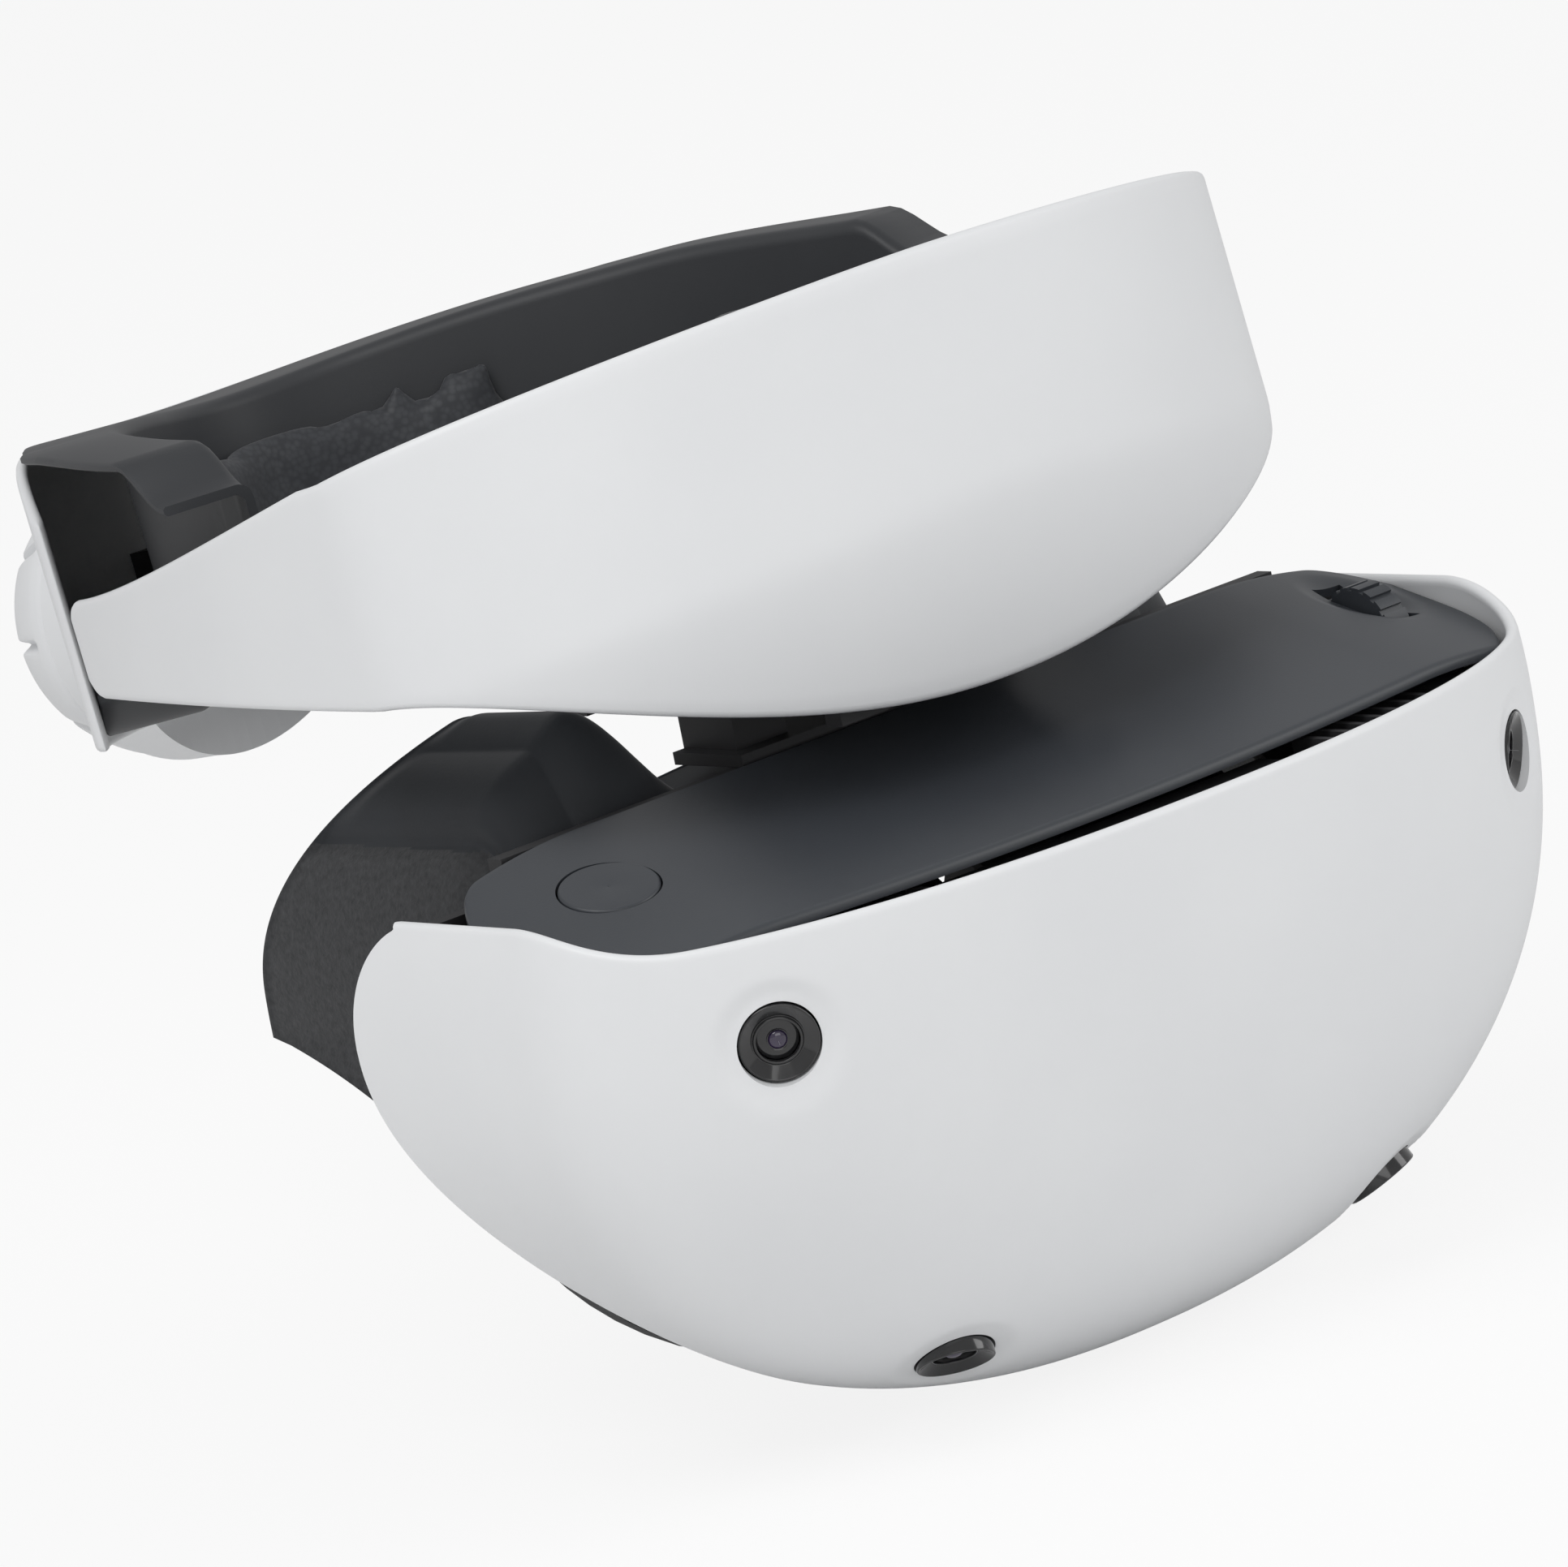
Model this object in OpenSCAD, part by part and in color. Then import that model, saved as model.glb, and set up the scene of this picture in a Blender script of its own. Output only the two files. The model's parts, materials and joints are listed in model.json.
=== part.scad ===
// VR headset: a halo headband with an adjustable rear cradle, and a visor
// that hangs from it on two rods and slides along them. Millimetres, +Z up,
// front towards -Y, origin midway between the wearer's eyes.

/* [Headband] */
// half of the headband's outer width
ring_half = 94.4; // [88:0.1:102]
// how far the band reaches in front of its widest line
ring_front = 48.4; // [44:0.1:56]
// how far the band reaches behind its widest line
ring_rear = 167.4; // [155:0.1:185]
// backward tilt of the band, front edge up
ring_tilt = 7.9; // [4:0.1:12]
// thickness of the white shells
shell_wall = 2.2; // [1.8:0.1:2.6]
// height of the forehead plate's top edge at the front
plate_top = 110; // [106:0.5:116]
// height of the forehead plate's bottom edge at the front
plate_low = 39; // [38:0.5:44]
// thickness of the forehead pad
pad_depth = 15; // [10:0.5:18]
// travel of the rear cradle
band_travel = 17; // [8:1:17]

/* [Visor] */
// half of the visor's outer width
visor_half = 106.5; // [100:0.1:112]
// depth of the bowed front
visor_front = 50; // [48:0.5:56]
// height from the widest line to the bottom
visor_drop = 80; // [76:0.5:88]
// distance between the two lens axes
eye_gap = 64; // [60:0.5:66]
// outside radius of a lens barrel
barrel_r = 26; // [22:0.5:27]
// radius of a tracking camera's bezel
bezel_r = 6.5; // [5:0.1:7]
// radius of the scope adjustment button
scope_r = 8.2; // [6.5:0.1:8.6]

/* [Mechanism] */
// radius of the slide rods
rod_r = 2.5; // [2:0.1:3]
// radial clearance of sliding and turning fits
run_gap = 0.06; // [0.04:0.01:0.1]
// radius of the rear dial
dial_r = 26.5; // [24:0.5:28]
// pitch radius of the rear pinion
pinion_r = 8; // [7:0.5:9]
// bore radius of the headphone socket
jack_r = 1.8; // [1.75:0.01:1.9]

/* [Hidden] */

eye_y = 60;
eye_z = -12;
seat_gap = 0.3;
round_steps = 64;

// band plan: a superellipse, blunter in front than behind
ring_mid = 59.5;
front_pow = 2.06;
rear_pow = 1.95;
arm_end = 130.5;
arm_top_drop = 21;
arm_low_rise = 33;
cheek = 92;
crease_mid = 70;
crease_fall = 5;
tuck_depth = 8;

// cradle
cradle_end = 44;
liner_end = 73;
cradle_top = 111.5;
cradle_low = 60;
liner_near = 15;
liner_far = 25;
liner_wall = 1.6;
back_y = ring_mid + ring_rear;
dial_z = 77.5;

// visor plan and profile
visor_mid = 32.8;
wide_z = 4;
plan_pow = 2.26;
side_pow = 2.26;
nose_pow = 2.38;
lean = 0.04;
deck_z = 18;
panel_slope = 0.27;
panel_wall = 2.2;
panel_back = 54;
panel_side_drop = 5.5;
bulkhead_y = 31;
bulkhead_t = 3;
frame_y = 54.6;
frame_t = 3.4;
post_r = 3;
eye_x = eye_gap / 2;
rod_x = 26;
rod_z = 40;
screw_z = 18;
lug_x = 66;
lug_top = 21.4;
screw_y = 38;

function clamp01(u) = min(1, max(0, u));
function smooth(u) = let (c = clamp01(u)) c * c * (3 - 2 * c);
function keep_sign(v, e) = sign(v) * pow(abs(v), e);

// point of the band plan at turn t (0 front, 180 back), o inside the outer face
function band_plan(t, o) =
    let (c = cos(t), s = sin(t), reach = c > 0 ? ring_front : ring_rear,
        e = 2 / (c > 0 ? front_pow : rear_pow))
    [(ring_half - o) * keep_sign(s, e), ring_mid - (reach - o) * keep_sign(c, e)];
function band_point(t, o, h) = let (p = band_plan(t, o)) [p[0], p[1], h];

function plate_top_at(t) =
    let (a = abs(t))
    a < cheek ? plate_top - 9 * pow(a / cheek, 1.6)
    : plate_top - 9 - (arm_top_drop - 9) * sin(90 * clamp01((a - cheek) / (arm_end - cheek)));
function plate_low_at(t) =
    let (a = abs(t))
    a < 90 ? plate_low + (arm_low_rise - 8) * pow(sin(a), 2)
    : plate_low + arm_low_rise - 8 + 8 * sin(90 * clamp01((a - 90) / 40));
function tuck(t, h) =
    let (crease = crease_mid - crease_fall * clamp01(abs(t) / 60))
    h > crease ? 0 : tuck_depth * pow((crease - h) / 30, 1.3) * (1 - clamp01((abs(t) - 60) / 50));

function cradle_top_at(a) = cradle_top + 2.2 * smooth(a / 40) - 12 * pow(clamp01(a / cradle_end), 7);
function liner_top_at(a) = cradle_top + 2.6 * smooth(a / 40) - 3.5 * smooth((a - 50) / 24);
function liner_low_at(a) = cradle_low + 3 + 12 * smooth((a - 36) / 14);
function liner_in_at(a) = liner_far - (liner_far - liner_near) * smooth((a - 20) / 38);
function lip_at(a) = a < cradle_end - 1 ? shell_wall + seat_gap : 1;

// a solid skinned over equal loops; point j faces point n-1-j across the wall
module skin(rows, ring = false) {
    n = len(rows[0]);
    m = len(rows);
    spans = ring ? m : m - 1;
    side = [for (i = [0:spans - 1]) for (j = [0:n - 1])
        let (k = (i + 1) % m, a = i * n + j, b = i * n + (j + 1) % n,
            c = k * n + (j + 1) % n, d = k * n + j)
        each [[a, b, c], [a, c, d]]];
    caps = ring ? [] : [for (e = [0, m - 1]) for (j = [0:n / 2 - 2])
        let (a = e * n + j, b = e * n + j + 1, c = e * n + n - 2 - j, d = e * n + n - 1 - j)
        each e == 0 ? [[a, c, b], [a, d, c]] : [[a, b, c], [a, c, d]]];
    polyhedron(points = [for (r = rows) for (p = r) p], faces = concat(side, caps), convexity = 8);
}

module place() {
    translate([0, -eye_y, -eye_z]) children();
}

module band_place() {
    place() rotate([-ring_tilt, 0, 0]) children();
}

// cylinder along +Y from y0 to y1
module rod_y(x, z, y0, y1, r) {
    translate([x, y0, z]) rotate([-90, 0, 0]) cylinder(h = y1 - y0, r = r, $fn = round_steps);
}

module rod_x_axis(y, z, x0, x1, r) {
    translate([x0, y, z]) rotate([0, 90, 0]) cylinder(h = x1 - x0, r = r, $fn = round_steps);
}

module box(low, high) {
    translate(low) cube(high - low);
}

// ---------- headband, front ----------

module forehead_shell() {
    steps = 58;
    levels = 9;
    color("white") band_place()
        skin([for (i = [0:steps])
            let (t = -arm_end + 2 * arm_end * i / steps, lo = plate_low_at(t), hi = plate_top_at(t))
            concat(
                [for (j = [0:levels]) let (h = lo + (hi - lo) * j / levels)
                    band_point(t, tuck(t, h), h)],
                [for (j = [levels:-1:0]) let (h = lo + (hi - lo) * j / levels)
                    band_point(t, tuck(t, h) + shell_wall, h)])]);
}

frame_end = 96;
frame_wall = 3.5;
frame_low = 70;
module band_frame() {
    steps = 40;
    color("dimgray") band_place()
        skin([for (i = [0:steps])
            let (t = -frame_end + 2 * frame_end * i / steps,
                hi = plate_top_at(t) - 6, o = shell_wall + seat_gap)
            [band_point(t, o, frame_low), band_point(t, o, hi),
                band_point(t, o + frame_wall, hi), band_point(t, o + frame_wall, frame_low)]]);
}

pad_end = 68;
pad_low = 62;
pad_out = 6.4;
module forehead_pad() {
    steps = 30;
    color("darkslategray") band_place()
        skin([for (i = [0:steps])
            let (t = -pad_end + 2 * pad_end * i / steps, e = 1 - pow(abs(t) / pad_end, 4),
                lo = pad_low, hi = plate_top_at(t) + 3,
                d = pad_out + 6 + (pad_depth - 6) * e)
            [band_point(t, pad_out, lo + 4), band_point(t, pad_out, hi - 4),
                band_point(t, pad_out + 3, hi), band_point(t, d - 3, hi),
                band_point(t, d, hi - 5), band_point(t, d, lo + 5),
                band_point(t, d - 3, lo), band_point(t, pad_out + 3, lo)]]);
}

arm_liner_in = 8;
module arm_liner(s) {
    steps = 10;
    color("black") band_place()
        skin([for (i = [0:steps])
            let (t = s * (frame_end + 1 + (125 - frame_end) * i / steps))
            [band_point(t, arm_liner_in, plate_low_at(t) + 1),
                band_point(t, arm_liner_in, plate_top_at(t) - 2),
                band_point(t, shell_wall + seat_gap, plate_top_at(t) - 0.8),
                band_point(t, shell_wall + seat_gap, plate_top_at(t) - 2.4),
                band_point(t, arm_liner_in - 1.4, plate_top_at(t) - 3.4),
                band_point(t, arm_liner_in - 1.4, plate_low_at(t) + 1)]]);
}

strap_in = 3.2;
strap_wall = 1.4;
strap_low = 74;
strap_high = 84.5;
strap_end = 156;
module strap(s) {
    steps = 22;
    color("darkslategray") band_place()
        skin([for (i = [0:steps])
            let (t = s * (frame_end + 0.5 + (strap_end - frame_end - 0.5) * i / steps))
            [band_point(t, strap_in, strap_low), band_point(t, strap_in, strap_high),
                band_point(t, strap_in + strap_wall, strap_high),
                band_point(t, strap_in + strap_wall, strap_low)]]);
}

bracket_z = 44.5;
bracket_t = 2.6;
bracket_front = 28.6;
block_top = 56;
bracket_back = 100;
bracket_half = 33;
lug_t = 4;
bolt_x = 14;
bolt_r = 1.5;
module slide_bracket() {
    color("dimgray") place() difference() {
        union() {
            box([-bracket_half, bracket_front, bracket_z],
                [bracket_half, bracket_back, bracket_z + bracket_t]);
            box([-bracket_half + 4, 18, bracket_z], [bracket_half - 4, bracket_front + 2.4, block_top]);
            for (s = [-1, 1], y = [bracket_front + 3, bracket_back - lug_t])
                box([s * rod_x - 5, y, rod_z - 4], [s * rod_x + 5, y + lug_t, bracket_z]);
        }
        rotate([-ring_tilt, 0, 0]) skin([for (i = [0:12])
            let (t = -27 + 54 * i / 12, o = shell_wall + seat_gap)
            [band_point(t, -20, 38), band_point(t, -20, 66), band_point(t, tuck(t, 66) + o, 66),
                for (h = [62, 58, 54, 50, 46]) band_point(t, tuck(t, h) + o, h),
                band_point(t, tuck(t, 40) + o, 40), band_point(t, tuck(t, 38) + o, 38)]]);
        for (s = [-1, 1])
            rod_y(s * rod_x, rod_z, bracket_front, bracket_back + 1, rod_r);
        for (s = [-1, 1], y = [48, 84])
            translate([s * bolt_x, y, bracket_z - 1])
                cylinder(h = bracket_t + 2, r = bolt_r, $fn = round_steps);
    }
}

module slide_rods() {
    color("silver") place()
        for (s = [-1, 1])
            rod_y(s * rod_x, rod_z, bracket_front + 3, bracket_back, rod_r);
}

module bracket_screws() {
    color("gray") place()
        for (s = [-1, 1], y = [48, 84])
            translate([s * bolt_x, y, bracket_z]) difference() {
                union() {
                    cylinder(h = bracket_t, r = bolt_r, $fn = round_steps);
                    translate([0, 0, bracket_t]) cylinder(h = 1.4, r = 2.8, $fn = round_steps);
                }
                translate([0, 0, bracket_t + 0.6]) cylinder(h = 1, r = 1.2, $fn = 6);
            }
}

motor_r = 4.4;
motor_y = 36;
motor_z = bracket_z + bracket_t + motor_r + 0.05;
module rumble_motor() {
    color("silver") place() {
        rod_x_axis(motor_y, motor_z, -13, 0, motor_r);
        rod_x_axis(motor_y, motor_z, 0, 3, 1.2);
        difference() {
            rod_x_axis(motor_y, motor_z, 3, 8, motor_r - 0.4);
            box([2.9, motor_y - 6, motor_z + 0.5], [9, motor_y + 6, motor_z + 6]);
        }
    }
}

// ---------- headband, rear ----------

module rear_shell() {
    steps = 40;
    levels = 5;
    color("white") band_place() difference() {
        skin([for (i = [0:steps])
            let (a = -cradle_end + 2 * cradle_end * i / steps, t = 180 + a,
                lo = cradle_low + 2 * pow(abs(a) / cradle_end, 4), hi = cradle_top_at(abs(a)))
            concat(
                [for (j = [0:levels]) band_point(t, 0, lo + (hi - lo) * j / levels)],
                [for (j = [levels:-1:0]) band_point(t, shell_wall, lo + (hi - lo) * j / levels)])]);
        rod_y(0, dial_z, back_y - 12, back_y + 2, 10);
        rod_y(gland_x, gland_z, back_y - 40, back_y + 4, gland_r + seat_gap / 2);
    }
}

module rear_liner() {
    steps = 62;
    color("dimgray") band_place() difference() {
        skin([for (i = [0:steps])
            let (g = -liner_end + 2 * liner_end * i / steps, a = abs(g), t = 180 + g,
                hi = liner_top_at(a), lo = liner_low_at(a), w = liner_in_at(a), lip = lip_at(a),
                reach = a < cradle_end - 1 ? lip : w - 1)
            [band_point(t, reach, lo + liner_wall), band_point(t, w, lo + liner_wall),
                band_point(t, w, hi - liner_wall), band_point(t, lip, hi - liner_wall),
                band_point(t, lip, hi), band_point(t, w + liner_wall, hi),
                band_point(t, w + liner_wall, lo), band_point(t, reach, lo)]]);
        translate([jack_x, jack_y, cradle_low]) cylinder(h = 8, r = jack_out + 0.2, $fn = round_steps);
    }
}

rear_pad_end = 38;
module rear_pad() {
    steps = 26;
    color("darkslategray") band_place()
        skin([for (i = [0:steps])
            let (g = -rear_pad_end + 2 * rear_pad_end * i / steps, a = abs(g), t = 180 + g,
                o = liner_in_at(a) + liner_wall + seat_gap, d = o + 3 + 4 * (1 - pow(a / rear_pad_end, 4)),
                hi = liner_top_at(a) - 5, lo = liner_low_at(a) + 6)
            [band_point(t, o, lo + 1), band_point(t, o, hi - 1), band_point(t, (o + d) / 2, hi),
                band_point(t, d, hi - 4), band_point(t, d, lo + 4), band_point(t, (o + d) / 2, lo)]]);
}

case_y0 = back_y - 22;
case_y1 = back_y - 7.5;
case_half = 12;
screw_drop = 8.5;
module gear_case() {
    color("gray") band_place() difference() {
        box([-19, case_y0, dial_z - case_half], [19, case_y1, dial_z + case_half]);
        box([-17, case_y0 + 2, dial_z - case_half + 2], [17, case_y1 - 2, dial_z + case_half - 2]);
        rod_y(0, dial_z, case_y0 - 1, case_y1 + 1, 4 + run_gap);
        for (s = [-1, 1]) rod_y(s * 15, dial_z - screw_drop, case_y0 - 1, case_y0 + 3, 1.2);
    }
}

module rear_screws() {
    color("silver") band_place()
        for (s = [-1, 1]) {
            rod_y(s * 15, dial_z - screw_drop, case_y0, case_y0 + 2, 1.2);
            rod_y(s * 15, dial_z - screw_drop, case_y0 - 1, case_y0, 2.2);
        }
}

base_y = back_y + 13;
base_r = dial_r + 1.4;
base_root = back_y - 14;
module dial_base() {
    color("white") band_place() difference() {
        translate([0, base_root, dial_z]) rotate([-90, 0, 0]) rotate_extrude($fn = round_steps)
            let (h = base_y - base_root)
            polygon([[10.5, 0], [base_r + 0.6, 0], [base_r + 0.6, 10], [base_r + 0.1, 18], [base_r, h - 1.4],
                [base_r - 1.4, h], [10.5, h]]);
        skin([for (i = [0:20]) let (t = 158 + 44 * i / 20)
            [band_point(t, -seat_gap, dial_z - 45), band_point(t, -seat_gap, dial_z + 45),
                band_point(t, 40, dial_z + 45), band_point(t, 40, dial_z - 45)]]);
    }
}

dial_t = 16;
notches = 9;
module adjust_dial() {
    color("white") band_place() difference() {
        translate([0, base_y + seat_gap, dial_z]) rotate([-90, 0, 0]) rotate_extrude($fn = round_steps)
            polygon([[4, 0], [dial_r - 0.9, 0], [dial_r, 1.6], [dial_r, 4], [dial_r - 1.4, 9],
                [dial_r - 3.9, dial_t - 1.4], [dial_r - 5.4, dial_t], [button_r + 0.5, dial_t],
                [button_r + 0.5, 5], [4, 5]]);
        for (i = [0:notches - 1])
            translate([0, base_y + 5, dial_z]) rotate([0, i * 360 / notches, 0])
                box([dial_r - 3.2, 0, -2], [dial_r + 2, dial_t, 2]);
    }
}

teeth = 16;
module dial_pinion() {
    color("gold") band_place() {
        rod_y(0, dial_z, case_y0 - 1, base_y + seat_gap + 5, 4);
        translate([0, case_y0 + 6, dial_z]) rotate([-90, 0, 0]) linear_extrude(height = 6)
            union() {
                difference() {
                    circle(r = pinion_r - 1, $fn = round_steps);
                    circle(r = 3.9, $fn = round_steps);
                }
                for (i = [0:teeth - 1]) rotate(i * 360 / teeth)
                    polygon([[pinion_r - 1.6, -1.1], [pinion_r + 0.9, -0.5],
                        [pinion_r + 0.9, 0.5], [pinion_r - 1.6, 1.1]]);
            }
    }
}

button_r = 14;
button_travel = 2;
module release_button() {
    color("gainsboro") band_place()
        translate([0, base_y + seat_gap + 5 + button_travel + 0.3, dial_z]) rotate([-90, 0, 0])
            rotate_extrude($fn = round_steps)
                polygon([[0, 0], [button_r, 0], [button_r, 6.5], [button_r - 2, 8.2],
                    [button_r - 6, 9.2], [0, 9.6]]);
}

gland_x = 38;
gland_z = 69.2;
gland_r = 4.2;
module cable_gland() {
    color("darkslategray") band_place() difference() {
        rod_y(gland_x, gland_z, back_y - 26, back_y - 4, gland_r);
        rod_y(gland_x, gland_z, back_y - 27, back_y - 3, 2.4);
    }
}

jack_x = -28;
jack_y = back_y - 20;
jack_out = 3.4;
jack_len = 14;
module headphone_socket() {
    color("silver") band_place() translate([jack_x, jack_y, cradle_low + 2.6]) difference() {
        cylinder(h = jack_len + 1.5, r = jack_out, $fn = round_steps);
        translate([0, 0, -1]) cylinder(h = jack_len + 1, r = jack_r, $fn = round_steps);
    }
}

// ---------- visor shell ----------

function drop_sin(z, in) = clamp01((wide_z - z) / (visor_drop - in));
function rise(z) = clamp01((z - wide_z) / (visor_drop));
function belt(z, in, e) = pow(1 - pow(z < wide_z ? min(0.995, drop_sin(z, in)) : rise(z), side_pow), 1 / e);
function half_at(z, in) = (visor_half - in) * belt(z, in, side_pow);
function reach_at(z, in) = (visor_front - in) * belt(z, in, nose_pow);
function mid_at(z) = visor_mid + lean * (wide_z - z);
ear_y = 74.8;
function ear_at(z) =
    z > 2 ? 55 + (ear_y - 55) * sqrt(max(0, 1 - pow((z - 2) / 22, 2)))
    : 35.5 + (ear_y - 35.5) * pow(sin(90 * pow(clamp01((z + 62) / 64), 0.88)), 2);
top_side = 24;
function rim_at(t) =
    let (y = visor_mid - visor_front * pow(abs(cos(t)), 2 / plan_pow))
    deck_z + (top_side - deck_z) * smooth((y - 5) / (visor_mid - 5));

// plan stations: u below 0 is the right side panel, 0 to 1 the bow, above 1 the left side
function hull_point(u, z, in) =
    let (w = half_at(z, in), f = reach_at(z, in), m = mid_at(z), t = -90 + 180 * clamp01(u),
        b = u < 0 ? -u : (u > 1 ? u - 1 : 0))
    [w * keep_sign(sin(t), 2 / plan_pow),
        m - f * pow(abs(cos(t)), 2 / plan_pow) + b * max(0, ear_at(z) - m), z];

low_turn = 84;
function level(j, top, in, below) =
    j < below ? wide_z - (visor_drop - in) * pow(sin(low_turn * (1 - j / below)), 2 / side_pow)
    : wide_z + (top - wide_z) * (j - below) / 4;

module visor_skin(in, wall, cut) {
    below = 13;
    total = below + 4;
    us = concat([for (i = [6:-1:1]) -i / 6], [for (i = [0:36]) i / 36], [for (i = [1:6]) 1 + i / 6]);
    skin([for (u = us)
        let (top = rim_at(-90 + 180 * clamp01(u)) - cut)
        concat(
            [for (j = [0:total]) hull_point(u, level(j, top, in, below), in)],
            [for (j = [total:-1:0]) hull_point(u, level(j, top, in + wall, below), in + wall)])]);
}

// tracking cameras: centre on the shell, turn out and turn down
cams = [[82.2, -0.6, 0.5, 34, 10], [48.4, 13.6, -64, 33, 61]];
module at_cam(s, k) {
    c = cams[k];
    translate([s * c[0], c[1], c[2]]) rotate([0, 0, s * c[3]]) rotate([90 + c[4], 0, 0]) children();
}

module front_shell() {
    color("white") place() difference() {
        visor_skin(0, shell_wall, 0);
        for (s = [-1, 1], k = [0, 1])
            at_cam(s, k) translate([0, 0, -12]) cylinder(h = 24, r = bezel_r + seat_gap, $fn = round_steps);
    }
}

bezel_depth = 3.4;
module bezel(s, k) {
    color("black") place() at_cam(s, k) translate([0, 0, -bezel_depth - 0.2])
        rotate_extrude($fn = round_steps)
            polygon([[3.6, 0], [bezel_r, 0], [bezel_r, bezel_depth], [bezel_r - 0.3, bezel_depth],
                [4.1, bezel_depth - 1.3], [3.9, bezel_depth - 0.9], [3.6, bezel_depth - 0.9]]);
}

module camera(s, k) {
    color("dimgray") place() at_cam(s, k) translate([0, 0, -bezel_depth - 0.2])
        rotate_extrude($fn = round_steps)
            polygon([[0, -7], [5.2, -7], [5.2, 0], [3.6, 0], [3.6, 1.6], [1.9, 1.9], [1.5, 2.3],
                [0.8, 2.55], [0, 2.65]]);
}

function panel_z(x, y) = 17.8 + panel_slope * (y - 8.4) - panel_side_drop * pow(max(0, abs(x) - 70) / 35, 2);
panel_half = 102.2;
function panel_front(x) =
    let (w = visor_half * 0.985 - shell_wall - 0.5, f = visor_front * 0.985 - shell_wall - 0.5,
        c = visor_mid - 0.4 - f * pow(max(0, 1 - pow(min(1, abs(x) / w), plan_pow)), 1 / plan_pow))
    max(8.4 - 5.6 * (1 - pow(x / 97, 2)), c);
function panel_rear(x) = panel_back - 12 * pow(max(0, abs(x) - 92) / 11.4, 2);
module top_panel() {
    steps = 52;
    color([0.13, 0.14, 0.15]) place() difference() {
        skin([for (i = [0:steps])
            let (x = panel_half * sin(-90 + 180 * i / steps), f = panel_front(x),
                r = max(f + 3, panel_rear(x)))
            concat(
                [for (j = [0:6]) let (y = f + (r - f) * j / 6) [x, y, panel_z(x, y)]],
                [for (j = [6:-1:0]) let (y = f + (r - f) * j / 6) [x, y, panel_z(x, y) - panel_wall]])]);
        at_scope() translate([0, 0, -6]) cylinder(h = 12, r = scope_r + 0.25, $fn = round_steps);
        box([wheel_x - wheel_t / 2 - 0.6, screw_y - 11, 10], [wheel_x + wheel_t / 2 + 0.6, screw_y + 10, 40]);
    }
}

scope_x = -81.5;
scope_y = 34.5;
module at_scope() {
    translate([scope_x, scope_y, panel_z(scope_x, scope_y)]) rotate([15, -6.3, 0]) children();
}

scope_t = 2.4;
module scope_button() {
    color([0.13, 0.14, 0.15]) place() at_scope() translate([0, 0, -scope_t + 0.1])
        rotate_extrude($fn = round_steps)
            polygon([[0, 0], [scope_r, 0], [scope_r, scope_t - 0.4], [scope_r - 0.4, scope_t], [0, scope_t]]);
}

module scope_switch() {
    color("dimgray") place() at_scope() translate([0, 0, -scope_t - 7.4]) {
        cylinder(h = 3.4, r = 9.6, $fn = round_steps);
        translate([0, 0, 3.4]) cylinder(h = 2.2, r = 2.6, $fn = round_steps);
        difference() {
            translate([0, 0, 3.4]) cylinder(h = 3, r = 9.6, $fn = round_steps);
            translate([0, 0, 3.3]) cylinder(h = 4.4, r = scope_r + 0.4, $fn = round_steps);
        }
    }
}

vent_in = 41;
vent_out = 71;
fin_n = 7;
module vent_fins() {
    color("black") place()
        for (s = [-1, 1], i = [0:fin_n - 1]) {
            x = s * (vent_in + 2 + (vent_out - vent_in - 4) * i / (fin_n - 1));
            f = bow_in(x) + 0.8;
            box([x - 0.7, f, deck_z - 11], [x + 0.7, panel_front(x) + 5, deck_z - 4.2]);
        }
}

function bow_in(x) =
    let (z = deck_z - 11, w = half_at(z, shell_wall + 0.4), f = reach_at(z, shell_wall + 0.4))
    mid_at(z) - f * pow(max(0, 1 - pow(abs(x) / w, plan_pow)), 1 / plan_pow);

deck_half = 94;
deck_t = 1.6;
module vent_deck() {
    color([0.1, 0.1, 0.11]) place()
        skin([for (i = [0:48])
            let (x = deck_half * (-1 + 2 * i / 48), f = bow_in(x) + 0.5,
                r = panel_front(x) + 6, z = deck_z - 11.2 + 5.5 * smooth((vent_in - 1 - abs(x)) / 4)
                    + 6.2 * smooth((abs(x) - vent_out + 0.4) / 2.4))
            [[x, f, z - deck_t], [x, f, z], [x, r, z], [x, r, z - deck_t]]]);
}

// ---------- visor inside ----------

function wall_ring(in, low, high, n) = concat(
    [for (i = [0:n]) let (z = low + (high - low) * i / n) [half_at(z, in), z]],
    [for (i = [n:-1:0]) let (z = low + (high - low) * i / n) [-half_at(z, in), z]]);

module barrel_slot(r) {
    slide = 3.6;
    for (s = [-1, 1]) {
        for (d = [-slide, slide]) translate([s * eye_x + d, 0]) circle(r = r, $fn = round_steps);
        translate([s * eye_x - slide, -r]) square([2 * slide, 2 * r]);
    }
}

post_spots = [[88, -2], [58, -48]];
module chassis() {
    color("gray") place() {
        translate([0, bulkhead_y + bulkhead_t, 0]) rotate([90, 0, 0])
            linear_extrude(height = bulkhead_t) difference() {
                polygon(wall_ring(shell_wall + 0.6, -68, 15.5, 24));
                for (s = [-1, 1]) translate([s * 90 - 20, 9]) square([40, 12]);
                barrel_slot_hole();
            }
        for (s = [-1, 1], p = post_spots)
            rod_y(s * p[0], p[1], bulkhead_y + bulkhead_t, frame_y - 0.05, post_r);
        for (s = [-1, 1], p = board_spots)
            rod_y(s * p[0], p[1], board_y + board_t, bulkhead_y, 2.4);
        for (s = [-1, 1]) difference() {
            box([s * lug_x - 3, bulkhead_y, 9], [s * lug_x + 3, screw_y + 5, lug_top]);
            rod_x_axis(screw_y, screw_z, s * lug_x - 4, s * lug_x + 4, screw_r + run_gap);
        }
    }
}

module barrel_slot_hole() {
    translate([0, eye_z]) barrel_slot(barrel_r + 1);
}

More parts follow.
